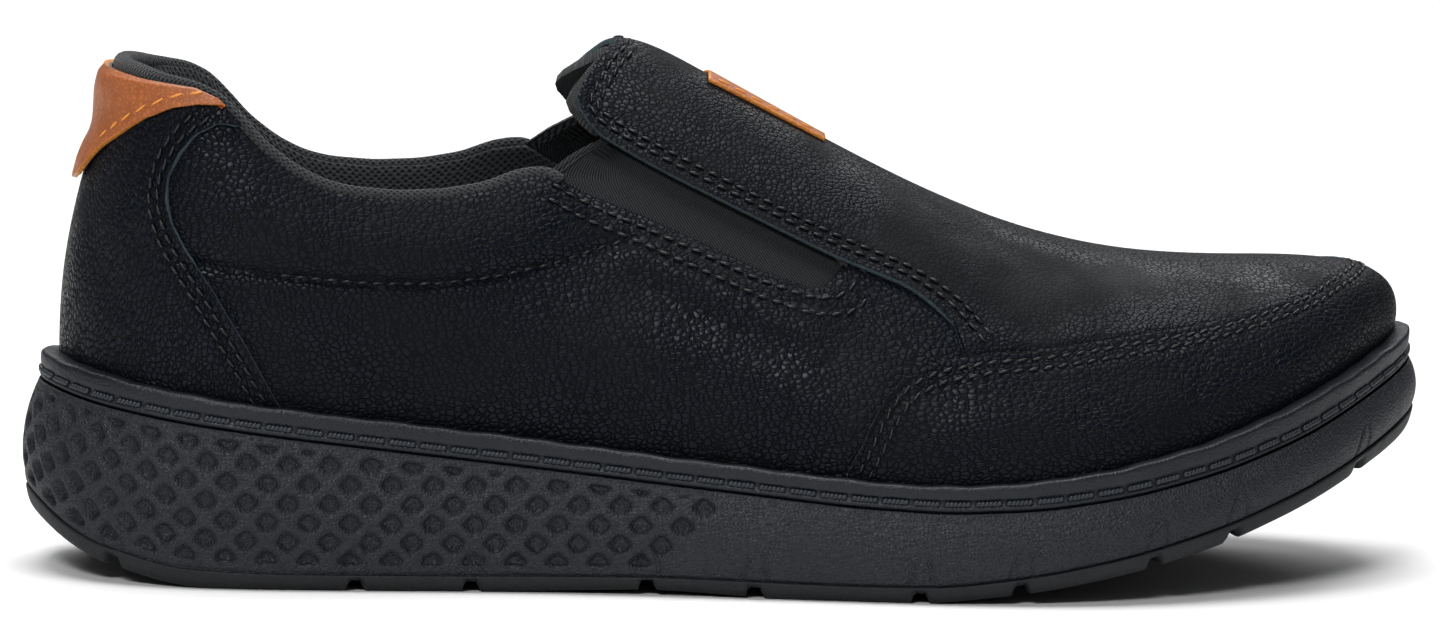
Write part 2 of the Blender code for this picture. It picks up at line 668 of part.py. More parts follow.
def main():
    for old in list(bpy.data.objects):
        bpy.data.objects.remove(old, do_unlink=True)
    build_outsole()
    build_midsole()
    build_welt()
    build_insole()
    build_upper()
    build_vamp()
    build_mudguard()
    build_counter()
    build_heel_tab()
    build_gore("gore_lateral", 1)
    build_gore("gore_medial", -1)
    build_tag()


main()
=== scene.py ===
"""A right-foot slip-on loafer in black pebbled leather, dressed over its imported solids.

X runs from heel to toe, Y towards the inner side of the foot and Z up. Tables are in millimetres.
A place on the shoe is given as a share, 0 at the heel and 1 at the toe along the sole's edge, above 0 on
the outer (lateral) side and below 0 on the inner one, with a climb in mm up the leather from the sole.
"""
import math

import bmesh
import bpy
import numpy as np
from mathutils import Matrix, Vector


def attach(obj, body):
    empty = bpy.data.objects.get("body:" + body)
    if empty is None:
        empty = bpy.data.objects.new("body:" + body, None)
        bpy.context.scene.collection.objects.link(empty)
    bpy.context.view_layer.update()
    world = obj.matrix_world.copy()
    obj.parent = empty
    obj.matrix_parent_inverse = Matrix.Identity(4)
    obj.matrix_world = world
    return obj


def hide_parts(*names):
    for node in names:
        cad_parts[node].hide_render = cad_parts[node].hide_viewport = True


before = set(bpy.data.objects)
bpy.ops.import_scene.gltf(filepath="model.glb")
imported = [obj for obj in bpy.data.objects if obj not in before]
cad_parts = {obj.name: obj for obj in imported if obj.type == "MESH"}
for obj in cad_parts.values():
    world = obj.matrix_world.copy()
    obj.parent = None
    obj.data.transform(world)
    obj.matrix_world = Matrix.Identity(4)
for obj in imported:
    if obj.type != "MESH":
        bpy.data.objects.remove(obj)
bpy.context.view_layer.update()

MM = 0.001

# The last and the sole, as the solids have them, mm
FEATHER_DROP = 1.0          # the upper meets the sole this far below the welt's top
FEATHER_INSET_TOE = 7.0     # from the sole's outline in to the upper's foot
FEATHER_INSET_HEEL = 9.0
PAD_SWELL = 2.6             # how far the padded collar stands out
RIB_ROUND = 0.035
LINE_ROUND = 5.0

# Layers of the upper: lifts of the outer faces over the quarter's face, and thicknesses
QUARTER = 1.4
OVERLAY = 1.2
ELASTIC = 1.0
GORE_LIFT = -1.9
LINING_LIFT = -2.2
TAG_THICKNESS = 0.9
GORE_SIZE = (70.0, 28.0)    # mm, along the foot and down
GORE_RIBS = 88
GORE_SLANT = 17             # how many ribs a line straight down the gore crosses

# Stitching
STITCH_PITCH = 3.2
WELT_STITCH_PITCH = 6.45
TAN_STITCH_PITCH = 4.3
STITCH = (2.6, 0.78, 0.8)
COUNTER_ROWS = (2.5, 4.9)   # from each cut edge in to its two rows of stitches
FLAP_ROWS = (3.0, 5.2)
GORE_ROWS = (2.8, 6.6)
MUDGUARD_ROWS = (2.0, 4.2)

# Sole
DIAMOND_HALF = 4.3          # half the width of a diamond on the sole's side
DIAMOND_ROW = 3.93
DIAMOND_DEPTH = 1.25
DIAMOND_FOOT = 3.0
GROOVE_WIDTH = 3.0
GROOVE_DEPTH = 2.0
FOOTBED_INSET = 3.2         # from the upper's foot in to the footbed's rim
FOOTBED_FOOT = 0.2
FOOTBED_TOP = 4.6
FOOTBED_HOLLOW = 1.6

OUTLINE = [
    (-150, 0), (-143, -20), (-125, -33), (-95, -38.5), (-50, -40), (0, -47), (45, -54.5), (75, -54.5),
    (100, -47), (121, -34.5), (138, -17), (150, 8), (146, 26), (131, 41), (104, 51), (68, 55),
    (28, 50), (-10, 41), (-50, 37), (-95, 37.5), (-125, 32.5), (-143, 19.5),
]
SOLE_COLUMNS = ("x", "bottom", "tread", "groove", "welt_top")
SOLE_LINES = [
    (-165, 23.0, 30.0, 42.5, 48.5),
    (-150, 11.5, 17.0, 39.6, 45.6),
    (-140, 5.0, 9.2, 37.2, 43.6),
    (-120, 0.2, 4.2, 34.2, 40.4),
    (-100, -0.8, 3.5, 31.8, 37.9),
    (-60, -0.3, 3.5, 27.5, 33.7),
    (-20, 1.1, 4.0, 23.3, 29.2),
    (20, -0.8, 3.4, 19.6, 25.3),
    (40, 0.2, 3.6, 18.8, 24.4),
    (60, 2.8, 6.4, 19.9, 26.0),
    (80, 6.6, 10.5, 22.8, 29.3),
    (100, 11.7, 15.8, 27.2, 34.1),
    (120, 18.4, 22.6, 33.4, 40.8),
    (135, 24.2, 28.6, 39.4, 46.4),
    (150, 30.2, 35.4, 45.4, 52.0),
    (165, 36.2, 42.2, 51.4, 57.6),
]
FLEX_GROOVES = (-133, -82, -58, -22, 0, 34, 55, 84, 102, 133)
RIDGE = [
    (-60, 129), (-35, 117.5), (-20, 110.8), (0, 100.2), (20, 89.5), (40, 79.7), (60, 71.8), (80, 67.0),
    (100, 65.2), (112, 65.4), (125, 65.4), (150, 65),
]
RIB_COLUMNS = ("share", "top_x", "top_half", "top_z", "lean", "rise", "reach", "drop")
RIBS = [
    (0.00, -132.5, 0.0, 107.5, 0.5, 30, 2, 22),
    (0.06, -130, 15.0, 107, 1.0, 30, 3, 24),
    (0.12, -120, 24.0, 106, 2.0, 28, 3, 26),
    (0.20, -98, 26.0, 104, 3.0, 26, 4, 26),
    (0.30, -66, 25.0, 103, 3.5, 24, 5, 26),
    (0.355, -46, 17.0, 107, 4.0, 24, 9, 21),
    (0.41, -30, 0.5, 112, 4.0, 26, 19, 8),
    (0.46, -16, 0.0, 109, 4.0, 27, 20, 3),
    (0.52, 4, 0.0, 98, 3.5, 28, 22, 0),
    (0.60, 31, 0.0, 85, 3.0, 26, 26, 0),
    (0.70, 64, 0.0, 72, 2.5, 22, 30, 0),
    (0.80, 92, 0.0, 67, 2.0, 18, 31, 0),
    (0.90, 107, 0.0, 66, 3.0, 15, 27, 0),
    (1.00, 113, 0.0, 66, 3.5, 13, 22, 0),
]
RIDGE_OFFSET = [(-130, 0), (-20, 3), (40, 4), (112, 6)]

# Edges of the pattern pieces: share, climb
COLLAR_EDGE = [
    (0.00, 61.5), (0.09, 62.5), (0.135, 63.4), (0.153, 62.2), (0.168, 58.8), (0.184, 54.5),
    (0.206, 50.4), (0.226, 48.0), (0.245, 47.2), (0.275, 47.6), (0.304, 49.2), (0.330, 52.0),
    (0.350, 55.8), (0.371, 58.0),
]
GORE_FOOT = [
    (0.371, 58.0), (0.390, 55.3), (0.428, 52.0), (0.465, 48.0), (0.500, 43.8), (0.530, 41.5),
]
PAD_TOP = COLLAR_EDGE + GORE_FOOT[1:] + [(0.550, 41.0), (0.620, 38.0), (0.700, 36.0), (0.800, 31.0),
                                         (0.900, 25.0), (1.000, 22.0)]
GORE_ROW = GORE_FOOT + [(0.545, 42.5), (0.556, 46.0)]
GORE_END = [            # free rear edge of the elastic: climb, share
    (50.0, 0.367), (58.6, 0.371), (63.2, 0.386), (67.1, 0.402), (68.2, 0.408), (78.0, 0.425),
]
QUARTER_FRONT = [       # the quarter closes the gore's front end and runs on under the vamp
    (0.540, 42.4), (0.548, 45.0), (0.556, 48.2), (0.562, 52.0), (0.580, 51.0), (0.600, 46.5),
    (0.615, 41.0), (0.640, 34.0),
]
VAMP_EDGE = [
    (0.392, 69.5), (0.408, 68.0), (0.429, 64.8), (0.452, 61.6), (0.489, 57.0), (0.525, 52.4),
    (0.551, 49.0), (0.574, 46.4), (0.589, 44.6), (0.598, 42.6), (0.606, 40.0), (0.613, 37.0),
    (0.620, 32.6), (0.625, 28.6),
]
FLAP_EDGE = [           # how far up the flap from its corner to the ridge, share
    (0.00, 0.408), (0.08, 0.400), (0.20, 0.394), (0.35, 0.392), (0.50, 0.396), (0.75, 0.408),
    (0.92, 0.419), (1.00, 0.427),
]
MUDGUARD_EDGE = [
    (0.537, 2.2), (0.545, 7.0), (0.553, 12.4), (0.564, 18.4), (0.578, 23.2), (0.599, 26.6),
    (0.635, 28.0), (0.720, 27.6), (0.773, 25.8), (0.820, 23.8), (0.870, 21.6), (0.930, 20.4),
    (1.000, 20.4),
]
COUNTER_EDGE = [        # climb, share
    (0, 0.204), (13, 0.180), (23, 0.158), (30.5, 0.137), (35, 0.126), (39.5, 0.119), (44, 0.119),
    (49, 0.126), (53, 0.137), (56, 0.150), (58.5, 0.160), (60.2, 0.168), (61.5, 0.170),
]
TAB_EDGE = [
    (0.00, 37.0), (0.018, 38.6), (0.046, 45.8), (0.094, 55.0), (0.117, 58.6), (0.138, 60.6),
    (0.158, 61.6),
]
PAD_SEAM = [
    (0.10, 27.6), (0.197, 28.4), (0.254, 29.0), (0.293, 30.4), (0.330, 33.4), (0.367, 38.0),
    (0.398, 43.0), (0.420, 46.0),
]

# Soft creases: side (0 is both), share and climb at either end, height (below 0 a trough), half width
CREASES = [
    (0, 0.200, 20, 0.420, 24, 0.7, 9.0),
    (0, 0.420, 44, 0.520, 33, 0.9, 6.0),
    (1, 0.425, 36, 0.505, 26, -0.5, 4.0),
    (-1, 0.440, 34, 0.520, 27, -0.4, 4.0),
    (0, 0.560, 34, 0.600, 20, -0.45, 4.5),
    (0, 0.470, 24, 0.540, 12, 0.45, 6.0),
    (0, 0.640, 60, 0.665, 34, -0.55, 5.0),
    (0, 0.610, 66, 0.630, 44, 0.40, 6.0),
    (0, 0.700, 52, 0.715, 33, -0.40, 4.5),
    (0, 0.560, 74, 0.575, 58, -0.35, 5.0),
    (0, 0.120, 8, 0.060, 26, -0.35, 5.0),
    (0, 0.040, 20, 0.100, 40, 0.35, 6.0),
    (1, 0.230, 8, 0.330, 14, -0.4, 5.0),
    (0, 0.700, 10, 0.860, 10, 0.5, 6.0),
    (1, 0.600, 12, 0.680, 16, 0.35, 5.0),
]


def blended(rows, column, at, spread):
    """Reads a table column, each row blended into its neighbours over plus and minus the spread."""
    table = np.array(rows, float)
    near = np.asarray(at, float)[..., None] + spread * np.linspace(-1, 1, 6)
    return np.interp(near, table[:, 0], table[:, column]).mean(axis=-1)


def read(rows, at):
    """Reads a two-column table."""
    table = np.array(rows, float)
    return np.interp(at, table[:, 0], table[:, 1])


def ease(value, low, high):
    """0 below low, 1 above high, and a soft step between."""
    part = np.clip((value - low) / (high - low), 0, 1)
    return part * part * (3 - 2 * part)


def closed_curve(points, count):
    """Evenly spaced points on the closed cubic spline through the given points."""
    points = np.array(points, float)
    total = len(points)
    step = np.linalg.norm(np.roll(points, -1, 0) - points, axis=1)
    start = np.concatenate([[0], np.cumsum(step)])
    matrix = np.zeros((total, total))
    pull = np.zeros((total, 2))
    for i in range(total):
        after = (i + 1) % total
        matrix[i, i - 1] += step[i - 1]
        matrix[i, i] += 2 * (step[i - 1] + step[i])
        matrix[i, after] += step[i]
        pull[i] = 6 * ((points[after] - points[i]) / step[i] - (points[i] - points[i - 1]) / step[i - 1])
    bend = np.linalg.solve(matrix, pull)
    at = np.linspace(0, start[-1], count, endpoint=False)
    k = np.searchsorted(start, at, side="right") - 1
    n = (k + 1) % total
    size = step[k][:, None]
    a = start[k + 1][:, None] - at[:, None]
    b = at[:, None] - start[k][:, None]
    cubic = (bend[k] * a ** 3 + bend[n] * b ** 3) / (6 * size)
    straight = (points[k] / size - bend[k] * size / 6) * a + (points[n] / size - bend[n] * size / 6) * b
    return cubic + straight


def outline_halves():
    """The lateral and the medial half of the outline, each from heel to toe with its shares."""
    loop = closed_curve(OUTLINE, 2400)
    loop = np.roll(loop, -int(np.argmin(loop[:, 0])), axis=0)
    toe = int(np.argmax(loop[:, 0]))
    halves = []
    for half in (loop[:toe + 1], np.vstack([loop[toe:], loop[:1]])[::-1]):
        length = np.concatenate([[0], np.cumsum(np.linalg.norm(np.diff(half, axis=0), axis=1))])
        halves.append((length / length[-1], half, length[-1]))
    return halves


LATERAL, MEDIAL = outline_halves()
HALF_LENGTH = LATERAL[2]        # mm of sole edge from heel to toe


def wrapped(place):
    """A place on the loop: 0 at the heel, 1 at the toe, above 0 lateral and below 0 medial."""
    return (np.asarray(place, float) + 1) % 2 - 1


def outline_at(place):
    place = wrapped(place)
    share = np.abs(place)
    sides = []
    for shares, half, _ in (LATERAL, MEDIAL):
        sides.append(np.stack([np.interp(share, shares, half[:, k]) for k in (0, 1)], -1))
    return np.where((place >= 0)[..., None], sides[0], sides[1])


def edge(place, inset=0.0):
    """Plan point and outward direction, an inset inside the sole's outline."""
    place = np.asarray(place, float)
    point = outline_at(place)
    along = outline_at(place + 0.004) - outline_at(place - 0.004)
    along /= np.linalg.norm(along, axis=-1, keepdims=True)
    out = np.stack([along[..., 1], -along[..., 0]], -1)
    return point - out * np.broadcast_to(inset, place.shape)[..., None], out


def heelward(x):
    """0 at the ball and forward of it, 1 at the heel."""
    return np.clip((60 - x) / 200, 0, 1)


def sole_line(name, x):
    height = blended(SOLE_LINES, SOLE_COLUMNS.index(name), x, LINE_ROUND)
    return np.maximum(height, 0) if name == "bottom" else height


def sole_point(place, inset_toe, inset_heel, low, high, part, lift=0.0):
    """A point of the sole: insets from the outline, height a part of the way between two lines."""
    x = outline_at(place)[..., 0]
    plan, _ = edge(place, inset_toe + (inset_heel - inset_toe) * heelward(x))
    z = sole_line(low, x) * (1 - part) + sole_line(high, x) * part + lift
    return np.concatenate([plan, z[..., None]], -1)


def feather(place):
    """The line where the upper meets the sole."""
    return sole_point(place, FEATHER_INSET_TOE, FEATHER_INSET_HEEL, "welt_top", "welt_top", 0.0,
                      -FEATHER_DROP)


def rib_value(name, place):
    near = wrapped(np.asarray(place, float)[..., None] + RIB_ROUND * np.linspace(-1, 1, 6))
    table = np.array(RIBS, float)
    value = np.interp(np.abs(near), table[:, 0], table[:, RIB_COLUMNS.index(name)])
    if name == "top_half":
        value = -np.sign(near) * value
    return value.mean(axis=-1)


def last_ribs(places):
    """The four control points of each rib's curve, from the sole to the top line."""
    foot = feather(places)
    _, out = edge(places)
    top_x = rib_value("top_x", places)
    top_y = rib_value("top_half", places) + read(RIDGE_OFFSET, top_x)
    front = ease(np.abs(wrapped(places)), 0.40, 0.48)
    top_z = rib_value("top_z", places) * (1 - front) + blended(RIDGE, 1, top_x, 8.0) * front
    slope = (blended(RIDGE, 1, top_x + 4, 8.0) - blended(RIDGE, 1, top_x - 4, 8.0)) / 8 * front
    reach = rib_value("reach", places)[:, None] * out
    top = np.stack([top_x, top_y, top_z], -1)
    shoulder = top + np.concatenate([reach, (reach[:, 0] * slope - rib_value("drop", places))[:, None]], -1)
    lean = rib_value("lean", places)[:, None] * out
    side = foot + np.concatenate([lean, rib_value("rise", places)[:, None]], -1)
    return foot, side, shoulder, top


# The last as a fine net: places along the sole by even parts of each rib's length
PLACES = np.linspace(-1, 1, 1441)
PARTS = np.linspace(0, 1, 161)
STEEPEST = 0.965            # above this part of a rib the direction along the shoe is taken from here


def last_net():
    """Points and outward directions of the last, and each rib's length in mm."""
    foot, side, shoulder, top = [rib[:, None] for rib in last_ribs(PLACES)]
    h = np.linspace(0, 1, 241)[None, :, None]
    fine = ((1 - h) ** 3 * foot + 3 * (1 - h) ** 2 * h * side
            + 3 * (1 - h) * h ** 2 * shoulder + h ** 3 * top)
    run = np.cumsum(np.linalg.norm(np.diff(fine, axis=1), axis=-1), axis=1)
    run = np.concatenate([np.zeros((len(PLACES), 1)), run], axis=1)
    length = run[:, -1]
    rise = np.array([np.interp(PARTS, row / row[-1], h[0, :, 0]) for row in run])[..., None]
    points = ((1 - rise) ** 3 * foot + 3 * (1 - rise) ** 2 * rise * side
              + 3 * (1 - rise) * rise ** 2 * shoulder + rise ** 3 * top)
    ring = np.concatenate([points[-2:-1], points, points[1:2]])
    along = ring[2:] - ring[:-2]
    top_row = int(STEEPEST * (len(PARTS) - 1))
    along[:, top_row:] = along[:, top_row:top_row + 1]
    normal = np.cross(along, np.gradient(points, axis=1))
    return points, normal / np.linalg.norm(normal, axis=-1, keepdims=True), length


NET, OUTWARD, RIB_LENGTH = last_net()


def full_climb(place):
    return np.interp(wrapped(place), PLACES, RIB_LENGTH)


def netted(net, place, climb):
    """Reads the net between its knots."""
    place = wrapped(place)
    part = np.clip(climb / full_climb(place), 0, 1) * (len(PARTS) - 1)
    column = (place + 1) / 2 * (len(PLACES) - 1)
    i = np.clip(column.astype(int), 0, len(PLACES) - 2)
    j = np.clip(part.astype(int), 0, len(PARTS) - 2)
    u, v = (column - i)[..., None], (part - j)[..., None]
    low = net[i, j] * (1 - u) + net[i + 1, j] * u
    high = net[i, j + 1] * (1 - u) + net[i + 1, j + 1] * u
    return low * (1 - v) + high * v


def pad_swell(place, climb):
    """How far the padded collar stands out between its seam and its edge."""
    share = np.abs(wrapped(place))
    seam = read(PAD_SEAM, share)
    part = np.clip((climb - seam) / (read(PAD_TOP, share) - seam), 0, 1)
    fade = np.clip((share - 0.10) / 0.08, 0, 1) * np.clip((0.42 - share) / 0.06, 0, 1)
    return PAD_SWELL * np.sin(np.pi * part ** 0.8) ** 0.8 * fade


def off_line(place, climb, line):
    """Distance in mm, measured on the leather, from places to a line of (place, climb) rows."""
    line = np.array(line, float) * (HALF_LENGTH, 1)
    spot = np.stack([place * HALF_LENGTH, climb], -1).reshape(-1, 2)
    nearest = np.full(len(spot), 1e9)
    for start, end in zip(line, line[1:]):
        run = end - start
        part = np.clip((spot - start) @ run / max(run @ run, 1e-9), 0, 1)
        nearest = np.minimum(nearest, np.linalg.norm(spot - start - part[:, None] * run, axis=1))
    return nearest.reshape(place.shape)


def creased(place, climb):
    """Soft troughs and ridges of the worn-in leather, mm outwards."""
    place, climb = np.broadcast_arrays(wrapped(place), np.asarray(climb, float))
    total = np.zeros(place.shape)
    for side, share_a, climb_a, share_b, climb_b, height, half_width in CREASES:
        away = off_line(np.abs(place), climb, [(share_a, climb_a), (share_b, climb_b)])
        bump = height * np.exp(-(away / half_width) ** 2)
        total += bump if side == 0 else bump * (place * side > 0)
    return total


def skin(place, climb, lift=0.0):
    """Point of the upper's outer face and its outward direction, with pad and creases, lifted in mm."""
    place, climb = np.broadcast_arrays(np.asarray(place, float), np.asarray(climb, float))
    normal = netted(OUTWARD, place, climb)
    normal /= np.linalg.norm(normal, axis=-1, keepdims=True)
    out = lift + pad_swell(place, climb) + creased(place, climb)
    return netted(NET, place, climb) + normal * out[..., None], normal


def pressed(place, climb):
    """How far the rows of stitches pull the leather in, mm."""
    depth = np.zeros(np.shape(place))
    share = np.abs(wrapped(place))
    rows = [stepped(inside, counter_line()) for inside in COUNTER_ROWS]
    rows += [stepped(inside, flap_line()) for inside in FLAP_ROWS]
    rows += [stepped(-inside, GORE_ROW) for inside in GORE_ROWS]
    for line in rows:
        depth = np.maximum(depth, 0.35 * np.exp(-(off_line(share, climb, line[::2]) / 0.9) ** 2))
    return depth


# Modelling helpers

def span(first, second, part):
    """Points a part of the way from one run of points to another."""
    return first * (1 - part)[:, None] + second * part[:, None]


def across(side, height):
    """A sheet across the sole, from its side's lateral half to its medial one, at a part of its height."""
    def surface(u, v):
        row = np.full_like(u, height)
        return span(side((1 + u) / 2, row), side((1 - u) / 2, row), v)

    return surface


def sheet_of(name, columns, rows, surface, size):
    """A grid carried onto a surface: surface(u, v) gives points in mm, size is the cloth's size in mm."""
    flat = bmesh.new()
    bmesh.ops.create_grid(flat, x_segments=columns, y_segments=rows, size=0.5)
    data = bpy.data.meshes.new(name)
    flat.to_mesh(data)
    flat.free()
    spots = np.empty(len(data.vertices) * 3)
    data.vertices.foreach_get("co", spots)
    spots = spots.reshape(-1, 3)[:, :2] + 0.5
    points = surface(spots[:, 0], spots[:, 1])
    data.vertices.foreach_set("co", (points * MM).ravel())
    corners = np.empty(len(data.loops), int)
    data.loops.foreach_get("vertex_index", corners)
    cloth = data.uv_layers.new(name="cloth")
    cloth.data.foreach_set("uv", (spots[corners] * np.array(size) * MM).ravel())
    data.update()
    return data


def joined(data, *others):
    """Merges meshes at the edges where they meet."""
    mesh = bmesh.new()
    for part in (data, *others):
        mesh.from_mesh(part)
    bmesh.ops.remove_doubles(mesh, verts=mesh.verts[:], dist=0.00002)
    bmesh.ops.dissolve_degenerate(mesh, edges=mesh.edges[:], dist=0.00001)
    mesh.to_mesh(data)
    mesh.free()
    for part in others:
        bpy.data.meshes.remove(part)
    return data


def piece(name, data, materials, replaces=()):
    """Ends a piece: smooth, in its finish, riding on the shoe."""
    data.shade_smooth()
    made = bpy.data.objects.new(name, data)
    for material in materials:
        data.materials.append(material)
    bpy.context.scene.collection.objects.link(made)
    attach(made, "root")
    if replaces:
        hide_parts(*replaces)
    return made


def walled(made, thickness, rim, bevel=0.35):
    """Gives a sheet its thickness inwards, with rounded cut edges in the rim's material."""
    wall = made.modifiers.new("thickness", "SOLIDIFY")
    wall.thickness = thickness * MM
    wall.offset = -1
    wall.use_even_offset = False
    wall.material_offset_rim = rim
    round_edge = made.modifiers.new("cut_edge", "BEVEL")
    round_edge.width = bevel * MM
    round_edge.segments = 2
    round_edge.material = rim
    round_edge.limit_method = "ANGLE"
    round_edge.angle_limit = math.radians(55)


def over_ridge(name, columns, rows, share_foot, lift, size):
    """A sheet over the top line, from its lateral foot to its medial one."""
    def surface(u, v):
        part = 1 - np.abs(2 * v - 1)
        side = np.where(v <= 0.5, 1.0, -1.0)
        share, foot = share_foot(u, part, side)
        lifts = lift(share, foot, part) if callable(lift) else lift + 0 * share
        climb = foot + part * (full_climb(share * side) - foot)
        point, normal = skin(share * side, climb)
        top_share, _ = share_foot(u, np.ones_like(u), side)
        near, near_normal = skin(top_share, full_climb(top_share))
        far, far_normal = skin(-top_share, full_climb(-top_share))
        crest_normal = near_normal + far_normal
        crest_normal /= np.linalg.norm(crest_normal, axis=1, keepdims=True)
        blend = ease(part, 0.75, 1.0)[:, None]
        normal = normal * (1 - blend) + crest_normal * blend
        normal /= np.linalg.norm(normal, axis=1, keepdims=True)
        point = np.where((part > 0.999)[:, None], (near + far) / 2, point)
        return point + normal * lifts[:, None]

    return sheet_of(name, columns, rows, surface, size)


def stepped(offset, line):
    """Offsets a line of (place, climb) rows to its left, in mm."""
    line = np.array(line, float) * (HALF_LENGTH, 1)
    run = np.gradient(line, axis=0)
    run /= np.linalg.norm(run, axis=1, keepdims=True)
    left = np.stack([-run[:, 1], run[:, 0]], -1)
    return (line + left * offset) / (HALF_LENGTH, 1)


def dense(line, step=0.5):
    """A line of (place, climb) rows with a point about every step mm, its corners rounded."""
    line = np.array(line, float)
    run = np.linalg.norm(np.diff(line * (HALF_LENGTH, 1), axis=0), axis=1)
    at = np.concatenate([[0], np.cumsum(run)])
    spots = np.arange(0, at[-1], step)
    near = spots[:, None] + np.linspace(-2.5, 2.5, 7)
    return np.stack([np.interp(near, at, line[:, k]).mean(1) for k in (0, 1)], -1)


def on_skin(line, lift):
    """Points and outward directions of a line on the upper, mm."""
    return skin(line[:, 0], line[:, 1], lift)


def evenly(points, normals, pitch, start=0.5):
    """Spots at an even pitch along a run of points, with their directions."""
    run = np.linalg.norm(np.diff(points, axis=0), axis=1)
    at = np.concatenate([[0], np.cumsum(run)])
    spots = np.arange(start * pitch, at[-1], pitch)
    centre = np.stack([np.interp(spots, at, points[:, k]) for k in range(3)], -1)
    ahead = np.stack([np.interp(spots + 0.6, at, points[:, k]) for k in range(3)], -1)
    behind = np.stack([np.interp(spots - 0.6, at, points[:, k]) for k in range(3)], -1)
    out = np.stack([np.interp(spots, at, normals[:, k]) for k in range(3)], -1)
    return centre, ahead - behind, out


def sewn(points, normals, pitch, size, turn=0.0, start=0.5):
    """Where the thread shows along a line: a 4x4 matrix for each stitch, (length, width, height) in size."""
    centre, forward, out = evenly(points, normals, pitch, start)
    forward = forward / np.linalg.norm(forward, axis=1, keepdims=True)
    aside = np.cross(out, forward)
    aside /= np.linalg.norm(aside, axis=1, keepdims=True)
    laid = np.zeros((len(centre), 4, 4))
    laid[:, :3, 0] = (forward * math.cos(turn) + aside * math.sin(turn)) * size[0] / 2
    laid[:, :3, 1] = (aside * math.cos(turn) - forward * math.sin(turn)) * size[1] / 2
    laid[:, :3, 2] = np.cross(forward, aside) * size[2] / 2
    laid[:, :3, 3] = centre
    laid[:, :3] *= MM
    laid[:, 3, 3] = 1
    return laid


def mesh_data(name, mesh):
    data = bpy.data.meshes.new(name)
    mesh.to_mesh(data)
    mesh.free()
    return data


def thread_mesh(name, laid, sides=6, rings=4):
    """One rounded thread end, repeated by an Array modifier and laid at each matrix."""
    laid = np.concatenate(laid)
    bead = bmesh.new()
    bmesh.ops.create_uvsphere(bead, u_segments=sides, v_segments=rings, radius=1.0,
                              matrix=Matrix.Rotation(math.radians(90), 4, "Y"))
    single = bpy.data.objects.new(name, mesh_data(name, bead))
    bpy.context.scene.collection.objects.link(single)
    spots = np.array([v.co for v in single.data.vertices])
    repeat = single.modifiers.new("stitches", "ARRAY")
    repeat.count = len(laid)
    repeat.use_relative_offset = False
    many = bpy.data.meshes.new_from_object(single.evaluated_get(bpy.context.evaluated_depsgraph_get()))
    bpy.data.objects.remove(single)
    spots = np.concatenate([spots, np.ones((len(spots), 1))], 1)
    many.vertices.foreach_set("co", np.einsum("nij,kj->nki", laid, spots)[..., :3].ravel())
    many.update()
    return many


# Materials

MATH = "ShaderNodeMath"
RANGE = "ShaderNodeMapRange"
CELLS = "ShaderNodeTexVoronoi"
NOISE = "ShaderNodeTexNoise"
PLACE = "ShaderNodeTexCoord"


def srgb(code):
    """Turns an sRGB hex colour to linear."""
    values = [int(code[i:i + 2], 16) / 255 for i in (1, 3, 5)]
    return (*[v / 12.92 if v <= 0.04045 else ((v + 0.055) / 1.055) ** 2.4 for v in values], 1.0)


def add(tree, kind, inputs=None, output=0, **settings):
    """Adds a node and gives one output. Inputs are values or other outputs, settings its own values."""
    node = tree.nodes.new(kind)
    for key, value in settings.items():
        setattr(node, key, value)
    for key, value in (inputs or {}).items():
        if isinstance(value, bpy.types.NodeSocket):
            tree.links.new(value, node.inputs[key])
        else:
            node.inputs[key].default_value = value
    return node.outputs[output]


def new_finish(name, **inputs):
    """A material with its shader's own values set."""
    material = bpy.data.materials.new(name)
    material.use_nodes = True
    tree = material.node_tree
    shader = tree.nodes["Principled BSDF"]
    for key, value in inputs.items():
        shader.inputs[key.replace("_", " ")].default_value = value
    return material, tree, shader


def surfaced(tree, shader, height, relief_mm, strength, part, colour, high_colour):
    """Gives a finish its relief, and its colour between two by a part from 0 to 1."""
    relief = {"Height": height, "Strength": strength, "Distance": relief_mm * MM}
    tree.links.new(add(tree, "ShaderNodeBump", relief), shader.inputs["Normal"])
    shade = add(tree, "ShaderNodeMix", {0: part, 6: srgb(colour), 7: srgb(high_colour)}, 2, data_type="RGBA")
    tree.links.new(shade, shader.inputs["Base Color"])


def warped(tree, where, size_mm, reach_mm):
    """Places shifted a little by noise, so that the grain's cells are uneven."""
    warp = add(tree, NOISE, {"Vector": where, "Scale": 1 / (size_mm * MM)}, "Color")
    shift = add(tree, "ShaderNodeVectorMath", {0: warp, 1: (reach_mm * MM,) * 3}, operation="MULTIPLY")
    return add(tree, "ShaderNodeVectorMath", {0: where, 1: shift}, operation="ADD")


